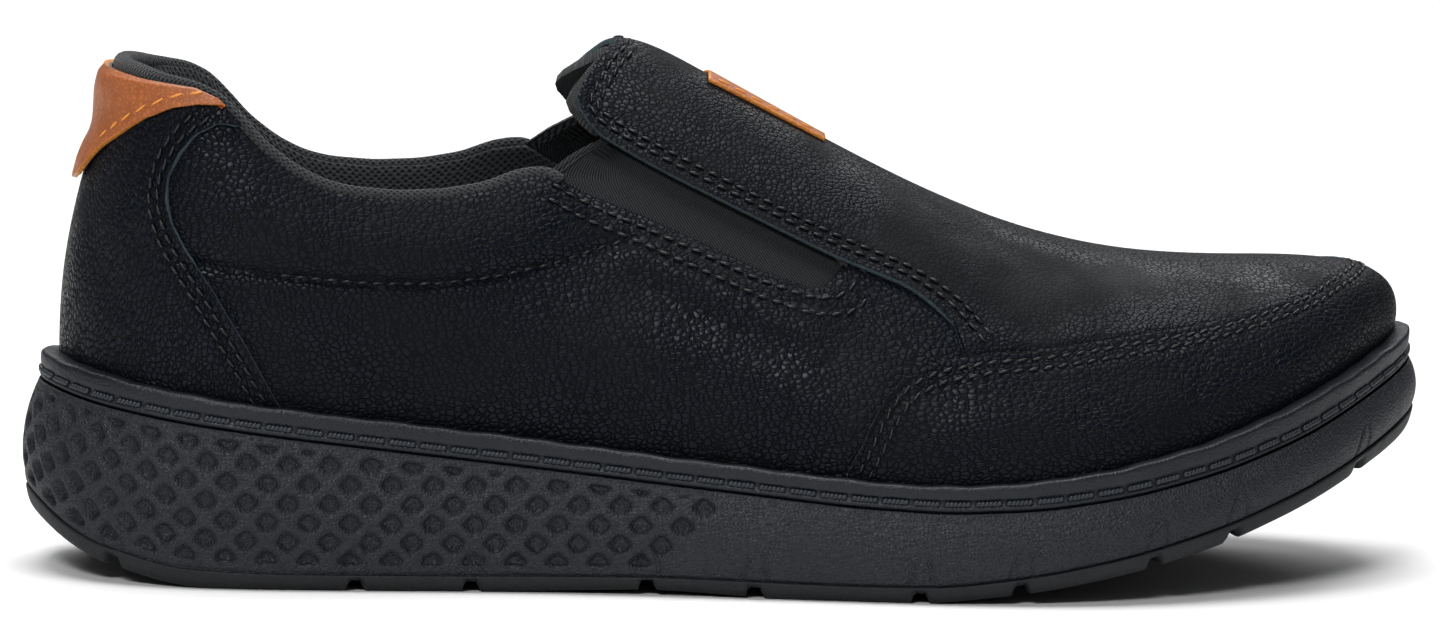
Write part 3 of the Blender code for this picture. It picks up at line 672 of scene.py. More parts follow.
def pebbled_leather(name, colour, high_colour, cell_mm, relief_mm, stretch=(1, 1, 1), turn=0.0, smooth=0.5):
    """Full-grain leather, milled: small pebbles with fine valleys, a waxy sheen on their tops, and painted
    shade darkening the valleys.

    The grain's cells are drawn at their real width and stretched where the leather is pulled.
    """
    waxed, dry = 0.36, 0.68
    material, tree, shader = new_finish(name, IOR=1.5, Specular_IOR_Level=0.24)
    where = add(tree, PLACE, output="Object")
    turned = add(tree, "ShaderNodeMapping", {"Vector": where, "Rotation": (0, turn, 0), "Scale": stretch})
    grain_at = warped(tree, turned, 3.0, 0.7)
    grain = {"Vector": grain_at, "Scale": 1 / (cell_mm * MM), "Randomness": 0.95}
    edges = add(tree, CELLS, grain, feature="DISTANCE_TO_EDGE")
    centres = add(tree, CELLS, grain, feature="F1")
    pebble = add(tree, RANGE, {0: edges, 1: 0.01, 2: 0.17}, interpolation_type="SMOOTHSTEP")
    broad = add(tree, NOISE, {"Vector": where, "Scale": 1 / (26.0 * MM)})
    calm = add(tree, RANGE, {0: broad, 1: 0.35, 2: 0.65, 3: 1.0 - smooth}, interpolation_type="SMOOTHSTEP")
    pores = add(tree, NOISE, {"Vector": grain_at, "Scale": 1 / (0.35 * MM)})
    waves = add(tree, NOISE, {"Vector": where, "Scale": 1 / (7.0 * MM)})
    fall = add(tree, MATH, {0: centres, 1: 0.75}, operation="MULTIPLY")
    dome = add(tree, MATH, {0: pebble, 1: fall}, operation="SUBTRACT")
    height = add(tree, MATH, {0: dome, 1: calm}, operation="MULTIPLY")
    height = add(tree, MATH, {0: pores, 1: 0.10, 2: height}, operation="MULTIPLY_ADD")
    height = add(tree, MATH, {0: waves, 1: 0.5, 2: height}, operation="MULTIPLY_ADD")
    # Colour mask: 1 on the pebble tops, 0 in the valleys and smooth patches; the dark valley colour is
    # painted shade.
    top = add(tree, MATH, {0: pebble, 1: calm}, operation="MULTIPLY")
    surfaced(tree, shader, height, relief_mm, 1.0, top, colour, high_colour)
    sheen = add(tree, RANGE, {0: top, 3: dry, 4: waxed}, interpolation_type="SMOOTHSTEP")
    handled = add(tree, NOISE, {"Vector": where, "Scale": 1 / (12.0 * MM)})
    uneven = add(tree, RANGE, {0: handled, 1: 0.3, 2: 0.7, 3: -0.05, 4: 0.06},
                 interpolation_type="SMOOTHSTEP")
    tree.links.new(add(tree, MATH, {0: sheen, 1: uneven}, operation="ADD"), shader.inputs["Roughness"])
    return material


def cut_leather():
    """The raw cut edge of the leather: matt, a little fibrous, its own grey-green painted lighter as a
    highlight on the rounded edge.
    """
    material, tree, shader = new_finish("leather_cut_edge_and_highlight", IOR=1.5, Roughness=0.6)
    where = add(tree, PLACE, output="Object")
    fibre = add(tree, NOISE, {"Vector": where, "Scale": 1 / (0.8 * MM), "Detail": 4.0})
    # The light grey-green is partly the raw edge's own colour and partly a painted highlight.
    surfaced(tree, shader, fibre, 0.15, 0.8, fibre, "#2b3438", "#56646a")
    return material


def moulded_rubber(name, colour, high_colour, grain_mm, relief_mm, roughness):
    """Moulded EVA-like rubber: matt, with a fine leathery texture from the mould."""
    material, tree, shader = new_finish(name, IOR=1.5)
    where = add(tree, PLACE, output="Object")
    grain = {"Vector": warped(tree, where, 2.5, 0.9), "Scale": 1 / (grain_mm * MM)}
    edges = add(tree, CELLS, grain, feature="DISTANCE_TO_EDGE")
    grain = add(tree, RANGE, {0: edges, 2: 0.35}, interpolation_type="SMOOTHSTEP")
    fine = add(tree, NOISE, {"Vector": where, "Scale": 1 / (0.4 * MM), "Detail": 3.0})
    blotch = add(tree, NOISE, {"Vector": where, "Scale": 1 / (9.0 * MM), "Detail": 3.0})
    height = add(tree, MATH, {0: fine, 1: 0.6, 2: grain}, operation="MULTIPLY_ADD")
    surfaced(tree, shader, height, relief_mm, 1.0, blotch, colour, high_colour)
    matt = add(tree, RANGE, {0: blotch, 1: 0.3, 2: 0.7, 3: roughness - 0.05, 4: roughness + 0.06},
               interpolation_type="SMOOTHSTEP")
    tree.links.new(matt, shader.inputs["Roughness"])
    return material


def tan_leather(name, colour, dark_colour):
    """Aniline-dyed tan leather, smooth, with fine creases and a darker bottom of the grain."""
    material, tree, shader = new_finish(name, IOR=1.5, Coat_Weight=0.05, Coat_Roughness=0.4)
    where = add(tree, PLACE, output="Object")
    edges = add(tree, CELLS, {"Vector": where, "Scale": 1 / (1.1 * MM)}, feature="DISTANCE_TO_EDGE")
    grain = add(tree, RANGE, {0: edges, 2: 0.3}, interpolation_type="SMOOTHSTEP")
    blotch = add(tree, NOISE, {"Vector": where, "Scale": 1 / (6.0 * MM), "Detail": 4.0, "Roughness": 0.6})
    fine = add(tree, NOISE, {"Vector": where, "Scale": 1 / (0.5 * MM), "Detail": 3.0})
    height = add(tree, MATH, {0: grain, 1: 0.6, 2: fine}, operation="MULTIPLY_ADD")
    worn = add(tree, MATH, {0: blotch, 1: 0.95}, operation="MULTIPLY")
    part = add(tree, MATH, {0: grain, 1: worn, 2: worn}, operation="MULTIPLY_ADD")
    surfaced(tree, shader, height, 0.09, 0.8, part, dark_colour, colour)
    matt = add(tree, RANGE, {0: blotch, 1: 0.3, 2: 0.7, 3: 0.55, 4: 0.42}, interpolation_type="SMOOTHSTEP")
    tree.links.new(matt, shader.inputs["Roughness"])
    return material


def knitted_mesh(name, colour, high_colour, hole_mm, relief_mm):
    """Knitted polyester spacer mesh: small staggered holes between matt loops of yarn, the holes painted dark
    as shade.
    """
    material, tree, shader = new_finish(name, IOR=1.5, Roughness=0.85, Sheen_Weight=0.15, Sheen_Roughness=0.5)
    cloth = add(tree, "ShaderNodeUVMap", uv_map="cloth")
    cloth = add(tree, "ShaderNodeMapping", {"Vector": cloth, "Rotation": (0, 0, math.radians(45))})
    holes = add(tree, CELLS, {"Vector": cloth, "Scale": 1 / (hole_mm * MM), "Randomness": 0.25},
                feature="F1", voronoi_dimensions="2D")
    yarn = add(tree, RANGE, {0: holes, 1: 0.12, 2: 0.5}, interpolation_type="SMOOTHSTEP")
    fuzz = add(tree, NOISE, {"Vector": cloth, "Scale": 1 / (0.3 * MM), "Detail": 3.0})
    height = add(tree, MATH, {0: fuzz, 1: 0.4, 2: yarn}, operation="MULTIPLY_ADD")
    lit = add(tree, MATH, {0: fuzz, 1: 0.5}, operation="ADD")
    # Colour mask: light on the loops, dark in the holes as painted shade, varied at random by the fuzz.
    part = add(tree, MATH, {0: yarn, 1: lit}, operation="MULTIPLY")
    surfaced(tree, shader, height, relief_mm, 1.0, part, colour, high_colour)
    return material


def ribbed_elastic():
    """Woven elastic webbing: matt polyester over rubber threads, with painted shade between its slanting
    ribs.
    """
    material, tree, shader = new_finish("woven_elastic", IOR=1.5, Roughness=0.62, Specular_IOR_Level=0.35)
    cloth = add(tree, "ShaderNodeUVMap", uv_map="cloth")
    along = add(tree, "ShaderNodeSeparateXYZ", {"Vector": cloth}, 0)
    down = add(tree, "ShaderNodeSeparateXYZ", {"Vector": cloth}, 1)
    slant = add(tree, MATH, {0: down, 1: 2 * math.pi * GORE_SLANT / (GORE_SIZE[1] * MM)},
                operation="MULTIPLY")
    turn = add(tree, MATH, {0: along, 1: 2 * math.pi * GORE_RIBS / (GORE_SIZE[0] * MM), 2: slant},
               operation="MULTIPLY_ADD")
    wave = add(tree, MATH, {0: turn}, operation="COSINE")
    rib = add(tree, RANGE, {0: wave, 1: -1.0, 2: 0.6}, interpolation_type="SMOOTHSTEP")
    fuzz = add(tree, NOISE, {"Vector": cloth, "Scale": 1 / (0.35 * MM), "Detail": 3.0})
    height = add(tree, MATH, {0: rib, 1: fuzz}, operation="ADD")
    lit = add(tree, MATH, {0: fuzz, 1: 0.4}, operation="ADD")
    # Colour mask: light on the ribs, near black between them as painted shade, varied at random by the fuzz.
    part = add(tree, MATH, {0: rib, 1: lit}, operation="MULTIPLY")
    surfaced(tree, shader, height, 0.10, 1.0, part, "#050607", "#33363a")
    return material


def sewing_thread(name, colour, high_colour, roughness):
    """Bonded polyester thread: slightly shiny, twisted."""
    material, tree, shader = new_finish(name, IOR=1.5, Roughness=roughness)
    where = add(tree, PLACE, output="Object")
    strand = add(tree, NOISE, {"Vector": where, "Scale": 1 / (0.4 * MM)})
    surfaced(tree, shader, strand, 0.08, 1.0, strand, colour, high_colour)
    return material


def make_finishes():
    # Each leather gets two colours: painted shade for the grain's valleys, then the pebble tops' own colour.
    painted_valley_shade, milled = "#04060a", "#0f1420"
    return {
        "quarter": pebbled_leather("full_grain_leather_quarter", painted_valley_shade, milled, 1.40, 0.20,
                                   (1, 1, 1.15), 0.3),
        "counter": pebbled_leather("full_grain_leather_counter", painted_valley_shade, milled, 1.25, 0.20,
                                   (1.2, 1.2, 0.85)),
        "vamp": pebbled_leather("full_grain_leather_vamp", "#05070b", "#10151f", 1.15, 0.15,
                                (1, 1, 1.1), -0.4, 0.75),
        "mudguard": pebbled_leather("full_grain_leather_mudguard", painted_valley_shade, "#0f141f", 1.30, 0.19,
                                    (0.85, 0.9, 1.2)),
        "edge": cut_leather(),
        "wall": moulded_rubber("moulded_rubber_wall", "#191d23", "#23272e", 0.8, 0.14, 0.52),
        "welt": moulded_rubber("moulded_rubber_welt", "#14171d", "#1c2027", 1.0, 0.05, 0.48),
        "tread": moulded_rubber("moulded_rubber_tread", "#16181b", "#1f2225", 0.7, 0.06, 0.6),
        "tan": tan_leather("tan_leather", "#b06a3c", "#7c4526"),
        "tan_edge": tan_leather("tan_leather_edge", "#d08a3e", "#9a5a22"),
        "mesh": knitted_mesh("knitted_polyester_lining", "#050607", "#303336", 1.25, 0.32),
        "binding": knitted_mesh("knitted_polyester_binding", "#08090a", "#34373a", 1.05, 0.30),
        "sock": knitted_mesh("textile_footbed", "#0c0d0f", "#1f2124", 0.8, 0.10),
        "elastic": ribbed_elastic(),
        "thread": sewing_thread("bonded_thread_black", "#0c0d0f", "#26282b", 0.38),
        "welt_thread": sewing_thread("moulded_welt_stitch", "#1f2329", "#31363d", 0.45),
        "tan_thread": sewing_thread("bonded_thread_orange", "#c27a30", "#eda653", 0.5),
    }


# The sole

def diamonds(arc, up, height):
    """Depth, 0 to 1, of the moulded diamonds: arc is mm along the sole's edge, up mm over the tread."""
    a = arc / DIAMOND_HALF
    b = (up - DIAMOND_FOOT) / DIAMOND_ROW
    p, q = (a + b) / 2, (a - b) / 2
    near_p, near_q = np.rint(p), np.rint(q)
    off = ((2 * np.abs(p - near_p)) ** 4 + (2 * np.abs(q - near_q)) ** 4) ** 0.25
    centre_arc = (near_p + near_q) * DIAMOND_HALF
    centre_up = DIAMOND_FOOT + (near_p - near_q) * DIAMOND_ROW
    arcs = list(zip(LATERAL[1][::40, 0], LATERAL[0][::40] * HALF_LENGTH))
    front = read(arcs, -4 - 1.1 * (height - centre_up))
    window = ease(up, 1.9, 2.9) * ease(height - up, 1.4, 2.2)
    return ease(0.80 - off, 0.0, 0.42) * window * (centre_arc < front)


def slit_marks(arc, up):
    """Depth, 0 to 1, of the pairs of short curved slits over the tread's notches."""
    depth = np.zeros(arc.shape)
    for x in FLEX_GROOVES:
        at = float(np.interp(x, LATERAL[1][:, 0], LATERAL[0])) * HALF_LENGTH
        for side in (-1, 1):
            bow = at + side * (2.4 - 1.9 * (np.clip(up, 0, 7) / 7) ** 2) + 0.12 * up
            ends = ease(7.5 - up, 0, 2.5) * ease(up, 0, 1)
            depth = np.maximum(depth, np.exp(-((arc - bow) / 0.42) ** 2) * ends)
    return depth


def wall_surface(u, v):
    place = 2 * u - 1
    x = outline_at(place)[..., 0]
    low, high = sole_line("tread", x), sole_line("groove", x)
    belly = 4 * v * (1 - v)
    inset = 1.2 * (1 - v) + (2.0 + 1.6 * heelward(x)) * v - (1.3 + 0.7 * heelward(x)) * belly
    up = v * (high - low)
    arc = np.abs(place) * HALF_LENGTH
    inset = inset + DIAMOND_DEPTH * diamonds(arc, up, high - low) + 0.5 * slit_marks(arc, up)
    inset = inset + 0.5 * ease(0.7 - up, 0, 0.7)
    plan, _ = edge(place, inset)
    return np.concatenate([plan, (low + up)[:, None]], -1)


def build_wall(finish):
    """Midsole: the thick moulded wall with its rows of diamonds."""
    size = (2 * HALF_LENGTH, 25)
    side = sheet_of("midsole_wall", 1320, 56, wall_surface, size)
    top = sheet_of("top", 660, 4, across(wall_surface, 1.0), size)
    foot = sheet_of("foot", 660, 4, across(wall_surface, 0.0), size)
    top.flip_normals()
    piece("midsole_wall", joined(side, top, foot), [finish["wall"]], ("midsole",))


def profile_rings(nodes, count):
    """Evenly read rows along a profile of (inset toe, inset heel, part, lift) rows, corners rounded."""
    nodes = np.array(nodes, float)
    at = np.linspace(0, len(nodes) - 1, count)
    near = np.clip(at[:, None] + np.linspace(-0.35, 0.35, 5), 0, len(nodes) - 1)
    return np.stack([np.interp(near, np.arange(len(nodes)), nodes[:, k]).mean(1) for k in range(4)], -1)


def ring_strip(name, columns, nodes, count, low, high, extra):
    """A closed strip round the sole with the given profile."""
    rings = profile_rings(nodes, count)

    def surface(u, v):
        place = 2 * u - 1
        row = np.rint(v * (count - 1)).astype(int)
        inset_toe, inset_heel, part, lift = rings[row].T
        more, sink = extra(place, v)
        return sole_point(place, inset_toe + more, inset_heel + more, low, high, part, lift + sink)

    return joined(sheet_of(name, columns, count - 1, surface, (2 * HALF_LENGTH, 10)))


WELT_PROFILE = [
    (5.5, 7.5, 0.0, 0.0), (2.7, 4.3, 0.0, 0.0), (2.6, 4.2, 0.0, 0.25), (2.3, 3.9, 0.0, 0.5),
    (2.1, 3.7, 0.0, 0.75), (2.1, 3.7, 0.0, 1.2), (2.5, 4.1, 0.0, 1.7), (2.6, 4.2, 0.0, 2.3),
    (2.45, 4.1, 0.0, 2.7), (2.1, 3.8, 0.5, 0.1), (1.95, 3.8, 0.75, 0.0), (1.9, 3.9, 0.9, 0.0),
    (2.2, 4.3, 1.0, -0.15), (3.0, 5.1, 1.0, 0.0), (5.0, 7.0, 1.0, -0.1), (7.6, 9.6, 1.0, -0.5),
]


def build_welt(finish):
    """Strip round the top of the sole with its moulded stitches, which lie in a shallow channel."""
    def waver(place, v):
        wave = np.sin(place * 97) + np.sin(place * 211 + 1.3)
        return 0.05 * wave * (v > 0.5), 0.08 * wave * (v > 0.7)

    data = ring_strip("welt_strip", 900, WELT_PROFILE, 34, "groove", "welt_top", waver)
    piece("welt_strip", data, [finish["welt"]], ("welt",))
    places = np.linspace(-1, 1, 4000)
    points = sole_point(places, 2.35, 3.95, "groove", "groove", 0.0, 2.0)
    _, out = edge(places)
    normals = np.concatenate([out, np.zeros((len(out), 1))], -1)
    run = np.linalg.norm(np.diff(points, axis=0), axis=1).sum()
    pitch = run / round(run / WELT_STITCH_PITCH)
    strands = 6
    laid = []
    for strand in range(strands):
        start = 0.5 + (strand - (strands - 1) / 2) * 0.86 / pitch
        laid.append(sewn(points, normals, pitch, (1.75, 1.35, 1.5), 0.45, start))
    piece("welt_stitches", thread_mesh("welt_stitches", laid, 6, 3), [finish["welt_thread"]])


def tread_cut(x):
    """How deep the flex grooves cut at a place along the sole."""
    depth = np.zeros(np.shape(x))
    for groove in FLEX_GROOVES:
        depth = np.maximum(depth, ease(GROOVE_WIDTH / 2 + 0.4 - np.abs(x - groove), 0.0, 0.8))
    return depth


OUTSOLE_PROFILE = [
    (4.6, 5.2, 0.0, 0.0), (3.0, 3.4, 0.0, 0.05), (2.1, 2.4, 0.0, 0.7), (1.4, 1.6, 0.35, 0.3),
    (0.9, 1.1, 0.8, 0.0), (0.8, 1.0, 0.95, 0.0), (1.0, 1.2, 1.0, 0.05), (2.2, 2.2, 1.0, 0.1),
]


def build_outsole(finish):
    """Tread: a thin layer, notched at its edge by the flex grooves that cross the sole."""
    count = 20
    rings = profile_rings(OUTSOLE_PROFILE, count)

    def side(u, v):
        place = 2 * u - 1
        row = np.rint(v * (count - 1)).astype(int)
        inset_toe, inset_heel, part, lift = rings[row].T
        x = outline_at(place)[..., 0]
        deep = tread_cut(x) * ease(0.72 - v, 0.0, 0.5)
        points = sole_point(place, inset_toe, inset_heel, "bottom", "tread", part, lift)
        points[:, 2] += GROOVE_DEPTH * deep
        return points

    def under(u, v):
        points = across(side, 0.0)(u, v)
        inner = ease(np.minimum(v, 1 - v), 0.03, 0.07) * ease(np.minimum(u, 1 - u), 0.02, 0.05)
        cross = np.minimum(np.abs((points[:, 0] + points[:, 1]) / 9 % 1 - 0.5),
                           np.abs((points[:, 0] - points[:, 1]) / 9 % 1 - 0.5))
        points[:, 2] += 1.2 * inner * ease(0.13 - cross, 0.0, 0.08) * (1 - tread_cut(points[:, 0]))
        return points

    ring = sheet_of("outsole_tread", 1200, count - 1, side, (2 * HALF_LENGTH, 10))
    bottom = sheet_of("bottom", 600, 90, under, (HALF_LENGTH, 100))
    top = sheet_of("top", 600, 2, across(side, 1.0), (HALF_LENGTH, 100))
    top.flip_normals()
    piece("outsole_tread", joined(ring, bottom, top), [finish["tread"]], ("outsole",))


def build_footbed(finish):
    """Removable footbed: a foam board under knitted cloth, raised a little round its edge."""
    def rim(place, lift):
        return sole_point(place, FEATHER_INSET_TOE + FOOTBED_INSET, FEATHER_INSET_HEEL + FOOTBED_INSET,
                          "groove", "groove", 0.0, lift)

    def side(u, v):
        place = 2 * u - 1
        _, out = edge(place)
        bulge = 0.4 * np.sin(np.pi * v)[:, None]
        return (span(rim(place, FOOTBED_FOOT), rim(place, FOOTBED_TOP), v)
                + bulge * np.concatenate([out, 0 * out[:, :1]], -1))

    def top(u, v):
        points = across(side, 1.0)(u, v)
        inside = ease(np.minimum(v, 1 - v), 0.0, 0.3) * ease(np.minimum(u, 1 - u), 0.0, 0.06)
        points[:, 2] -= FOOTBED_HOLLOW * inside
        return points

    size = (HALF_LENGTH, 80)
    upper = sheet_of("footbed", 200, 50, top, size)
    lower = sheet_of("under", 200, 50, across(side, 0.0), size)
    ring = sheet_of("ring", 400, 6, side, (2 * HALF_LENGTH, 5))
    upper.flip_normals()
    piece("footbed", joined(upper, lower, ring), [finish["sock"]], ("insole",))


# The upper

def quarter_top(share):
    return read(COLLAR_EDGE + GORE_FOOT[1:] + QUARTER_FRONT, share)


def build_quarters(finish):
    """Both quarters in one, round the heel: plain below the pad seam, padded above it."""
    reach = 0.64

    def surface(u, v):
        place = reach * (2 * u - 1)
        climb = v * quarter_top(np.abs(place))
        groove = 0.9 * np.exp(-(off_line(np.abs(place), climb, PAD_SEAM) / 1.1) ** 2)
        groove = groove * ease(0.43 - np.abs(place), 0.0, 0.02)
        band = 0.5 * ease(2.6 - (quarter_top(np.abs(place)) - climb), 0, 1.2) * (np.abs(place) > 0.372)
        point, _ = skin(place, climb, -groove - band - pressed(place, climb) - 0.5 * ease(v, 0.985, 1.0))
        return point

    data = sheet_of("quarters", 440, 66, surface, (2 * reach * HALF_LENGTH, 55))
    made = piece("quarters", data, [finish["quarter"], finish["edge"]], ("upper",))
    walled(made, QUARTER, 1)


def vamp_lift(share, foot, part):
    """The vamp thins where it runs under the mudguard."""
    tuck = ease(share, 0.600, 0.626) * ease(0.10 - part, 0.0, 0.09)
    climb = foot + part * (full_climb(share) - foot)
    return OVERLAY + 0.15 - 1.05 * tuck - pressed(share, climb)


def vamp_foot(u, part, side):
    """Share and foot climb of the vamp's columns: crowded near the flap's end and the mudguard corner."""
    share = 0.408 + (1 - 0.408) * u
    pull = np.clip(1 - (share - 0.408) / 0.10, 0, 1) ** 1.5
    share = share + pull * (read(FLAP_EDGE, part) - 0.408)
    under = read(MUDGUARD_EDGE, share) - 3.0
    foot = np.where(share < 0.618, read(VAMP_EDGE, share), np.minimum(read(VAMP_EDGE, share), under))
    foot = np.maximum(foot, under)
    return share, foot


def build_vamp(finish):
    """Vamp and instep flap in one piece."""
    data = joined(over_ridge("vamp_flap", 236, 150, vamp_foot, vamp_lift, (0.6 * HALF_LENGTH, 130)))
    made = piece("vamp_flap", data, [finish["vamp"], finish["edge"]], ("vamp_tongue",))
    walled(made, OVERLAY, 1, 0.45)


def build_mudguard(finish):
    """Toe guard that laps the vamp and the quarters."""
    def surface(u, v):
        start = 0.537
        place = start + u * (2 - 2 * start)
        top = read(MUDGUARD_EDGE, np.abs(wrapped(place)))
        climb = 0.4 + v * (top - 0.4)
        lift = OVERLAY + 0.2 + 0.35 * ease(v, 0.6, 0.9) * ease(np.abs(wrapped(place)), 0.6, 0.64)
        for inside in MUDGUARD_ROWS:
            lift = lift - 0.3 * np.exp(-((top - climb - inside) / 0.8) ** 2)
        point, _ = skin(place, climb, lift)
        return point

    data = sheet_of("mudguard_panel", 420, 34, surface, (320, 26))
    made = piece("mudguard_panel", data, [finish["mudguard"], finish["edge"]], ("mudguard",))
    walled(made, OVERLAY, 1, 0.5)


def build_counter(finish):
    """Heel counter over the quarters."""
    def surface(u, v):
        top = COUNTER_EDGE[-1][0]
        climb = 0.4 + v * (top - 0.4)
        place = (2 * u - 1) * read(COUNTER_EDGE, climb)
        climb = climb * (1 + ease(v, 0.5, 1.0) * (read(COLLAR_EDGE, np.abs(place)) / top - 1))
        point, _ = skin(place, climb, OVERLAY + 0.15 - pressed(place, climb))
        return point

    data = sheet_of("counter_panel", 160, 76, surface, (125, 62))
    made = piece("counter_panel", data, [finish["counter"], finish["edge"]], ("counter",))
    walled(made, OVERLAY, 1)


def build_tab(finish):
    """Bare tan patch over the top of the counter."""
    def surface(u, v):
        place = 0.158 * (2 * u - 1)
        high = read(COLLAR_EDGE, np.abs(place)) + 0.4
        low = np.minimum(read(TAB_EDGE, np.abs(place)), high - 0.25)
        back = ease(0.07 - np.abs(place), 0.0, 0.06)
        flare = back * (0.9 * ease(0.32 - v, 0.0, 0.2) + 0.6 * np.exp(-((v - 0.8) / 0.16) ** 2))
        hollow = back * 0.35 * np.exp(-((v - 0.45) / 0.14) ** 2)
        turned = 0.9 * ease(v, 0.90, 1.0)
        point, _ = skin(place, low + v * (high - low), 2 * OVERLAY + 0.2 + flare - hollow - turned)
        return point

    data = sheet_of("heel_patch", 130, 32, surface, (100, 25))
    made = piece("heel_patch", data, [finish["tan"], finish["tan_edge"]], ("heel_tab",))
    walled(made, OVERLAY, 1, 0.5)


def build_gore(name, side, finish):
    """Elastic gusset: fine ribs run down it, tucked under the quarter and the vamp."""
    def surface(u, v):
        low_share = 0.366 + u * 0.206
        low = read(GORE_FOOT + [(0.60, 39.0)], low_share) - 6.0
        climb = low + v * (read(VAMP_EDGE, low_share) + 6.0 - low)
        share = low_share + (1 - ease(u, 0.0, 0.35)) * (read(GORE_END, climb) - 0.366)
        hem = ease(0.045 - u, 0.0, 0.01)
        rib = 0.22 * np.cos(2 * np.pi * (u * GORE_RIBS + v * GORE_SLANT)) * (1 - hem)
        fold = 0.45 * hem * (1 - 0.6 * np.exp(-((u - 0.028) / 0.006) ** 2))
        point, _ = skin(share * side, climb, GORE_LIFT + rib + fold)
        return point

    data = sheet_of(name, GORE_RIBS * 5, 30, surface, GORE_SIZE)
    if side < 0:
        data.flip_normals()
    made = piece(name, data, [finish["elastic"]], ("gore_lateral" if side > 0 else "gore_medial",))
    walled(made, ELASTIC, 0, 0.25)


def tube(name, line, radius_at, columns, rows, lift_at, drop):
    """A rolled binding along a line on the upper, its radius and lift read at each place."""
    def surface(u, v):
        at = u * (len(line) - 1)
        index = np.arange(len(line))
        place = np.interp(at, index, line[:, 0])
        climb = np.interp(at, index, line[:, 1])
        lift = lift_at(place)
        radius = radius_at(place)[:, None]
        point, out = skin(place, climb, lift)
        beside = []
        for step in (0.5, -0.5):
            spot = np.clip(at + step, 0, len(line) - 1)
            near_place, near_climb = [np.interp(spot, index, line[:, k]) for k in (0, 1)]
            beside.append(skin(near_place, near_climb, lift)[0])
        forward = beside[0] - beside[1]
        forward /= np.linalg.norm(forward, axis=1, keepdims=True)
        aside = np.cross(out, forward)
        aside /= np.linalg.norm(aside, axis=1, keepdims=True)
        end = np.sqrt(np.clip(1 - np.clip(1 - np.minimum(u, 1 - u) * columns / 2.0, 0, 1) ** 2, 0.02, 1))
        angle = 2 * np.pi * v
        wide = (np.cos(angle) * end)[:, None]
        tall = (np.sin(angle) * end)[:, None]
        return point + radius * (out * wide + aside * tall * drop)

    data = sheet_of(name, columns, rows, surface, (len(line) * 0.7, 10))
    return joined(data)


def collar_line():
    """The collar's edge from the lateral side round the heel to the medial one, turned down at the gores."""
    half = np.array(COLLAR_EDGE[1:-1] + [(0.366, 57.6), (0.373, 57.4), (0.379, 55.6)])
    return dense(np.concatenate([half[::-1] * (-1, 1), COLLAR_EDGE[:1], half]), 0.7)


def heel_roll(place):
    """1 at the heel, where the mesh stands up in a fat roll over the tan patch, and 0 along the sides."""
    return ease(0.16 - np.abs(place), 0.0, 0.10)


def build_collar(finish):
    """Knitted binding rolled along the collar, and the padded lining inside it."""
    line = collar_line()
    line[:, 1] += 0.5 * heel_roll(line[:, 0])
    data = tube("collar_binding", line, lambda w: 1.45 + 0.55 * heel_roll(w), 620, 14,
                lambda w: -1.0 - 1.0 * heel_roll(w), 1.15)
    data.flip_normals()
    piece("collar_binding", data, [finish["binding"]])

    reach = 0.560

    def surface(u, v):
        place = reach * (2 * u - 1)
        share = np.abs(place)
        top = np.minimum(read(PAD_TOP, share), 100) + 0.2
        climb = top * (1 - v) + 2.0 * v
        heel = ease(0.30 - share, 0.0, 0.18)
        swell = np.sin(np.pi * np.clip(v / 0.62, 0, 1)) ** 0.8 * (2.6 + 1.6 * heel)
        swell = swell * ease(0.40 - share, 0.0, 0.10)
        base, out = skin(place, climb, LINING_LIFT - swell)
        return base - out * pad_swell(place, climb)[:, None]

    data = sheet_of("collar_lining", 330, 44, surface, (2 * reach * HALF_LENGTH, 60))
    made = piece("collar_lining", data, [finish["mesh"]])
    walled(made, -1.2, 0, 0.3)


def lining_foot(u, part, side):
    share = 0.400 + 0.60 * u
    pull = np.clip(1 - (share - 0.400) / 0.10, 0, 1) ** 1.5
    share = share + pull * (read(FLAP_EDGE, part) - 0.404)
    foot = np.interp(share, [0.40, 0.555, 0.60, 1.0], [1, 1, 0, 0]) * (read(VAMP_EDGE, share) + 1.5)
    return share, np.maximum(foot, 1.0)


def build_tongue_lining(finish):
    """Padded lining under the flap, carried on as the lining of the toe."""
    data = joined(over_ridge("tongue_lining", 130, 84, lining_foot, -0.4, (0.6 * HALF_LENGTH, 130)))
    made = piece("tongue_lining", data, [finish["binding"]])
    walled(made, 2.6, 0, 0.8)


def build_tag(finish):
    """Small bare tan tag across the instep."""
    def foot(u, part, side):
        share = 0.488 + 0.075 * u
        return share, full_climb(share * side) - 6.0

    data = joined(over_ridge("instep_patch", 50, 16, foot, OVERLAY + 0.15 + TAG_THICKNESS, (26, 12)))
    made = piece("instep_patch", data, [finish["tan"], finish["tan_edge"]], ("instep_tag",))
    walled(made, TAG_THICKNESS, 1, 0.3)


# Seams: lines of (place, climb)

def both(line):
    line = np.array(line, float)
    return [line, line * (-1, 1)]


def counter_line():
    rows = [(share, climb) for climb, share in COUNTER_EDGE[:-1]]
    return np.array([(0.202, 1.5)] + rows[1:])


def flap_line():
    """The flap's and vamp's cut edge, from the ridge down and forward to the mudguard."""
    parts = np.linspace(1, 0, 24)
    shares = read(FLAP_EDGE, parts)
    foot = read(VAMP_EDGE, 0.408)
    climbs = foot + parts * (full_climb(shares) - foot)
    return np.concatenate([np.stack([shares, climbs], -1), np.array(VAMP_EDGE[2:])])


def mudguard_line():
    """The mudguard's cut edge from its lateral foot over the toe to its medial foot."""
    rows = np.array(MUDGUARD_EDGE)
    back = rows[:-1][::-1] * (-1, 1) + (2, 0)
    return np.concatenate([rows, back])


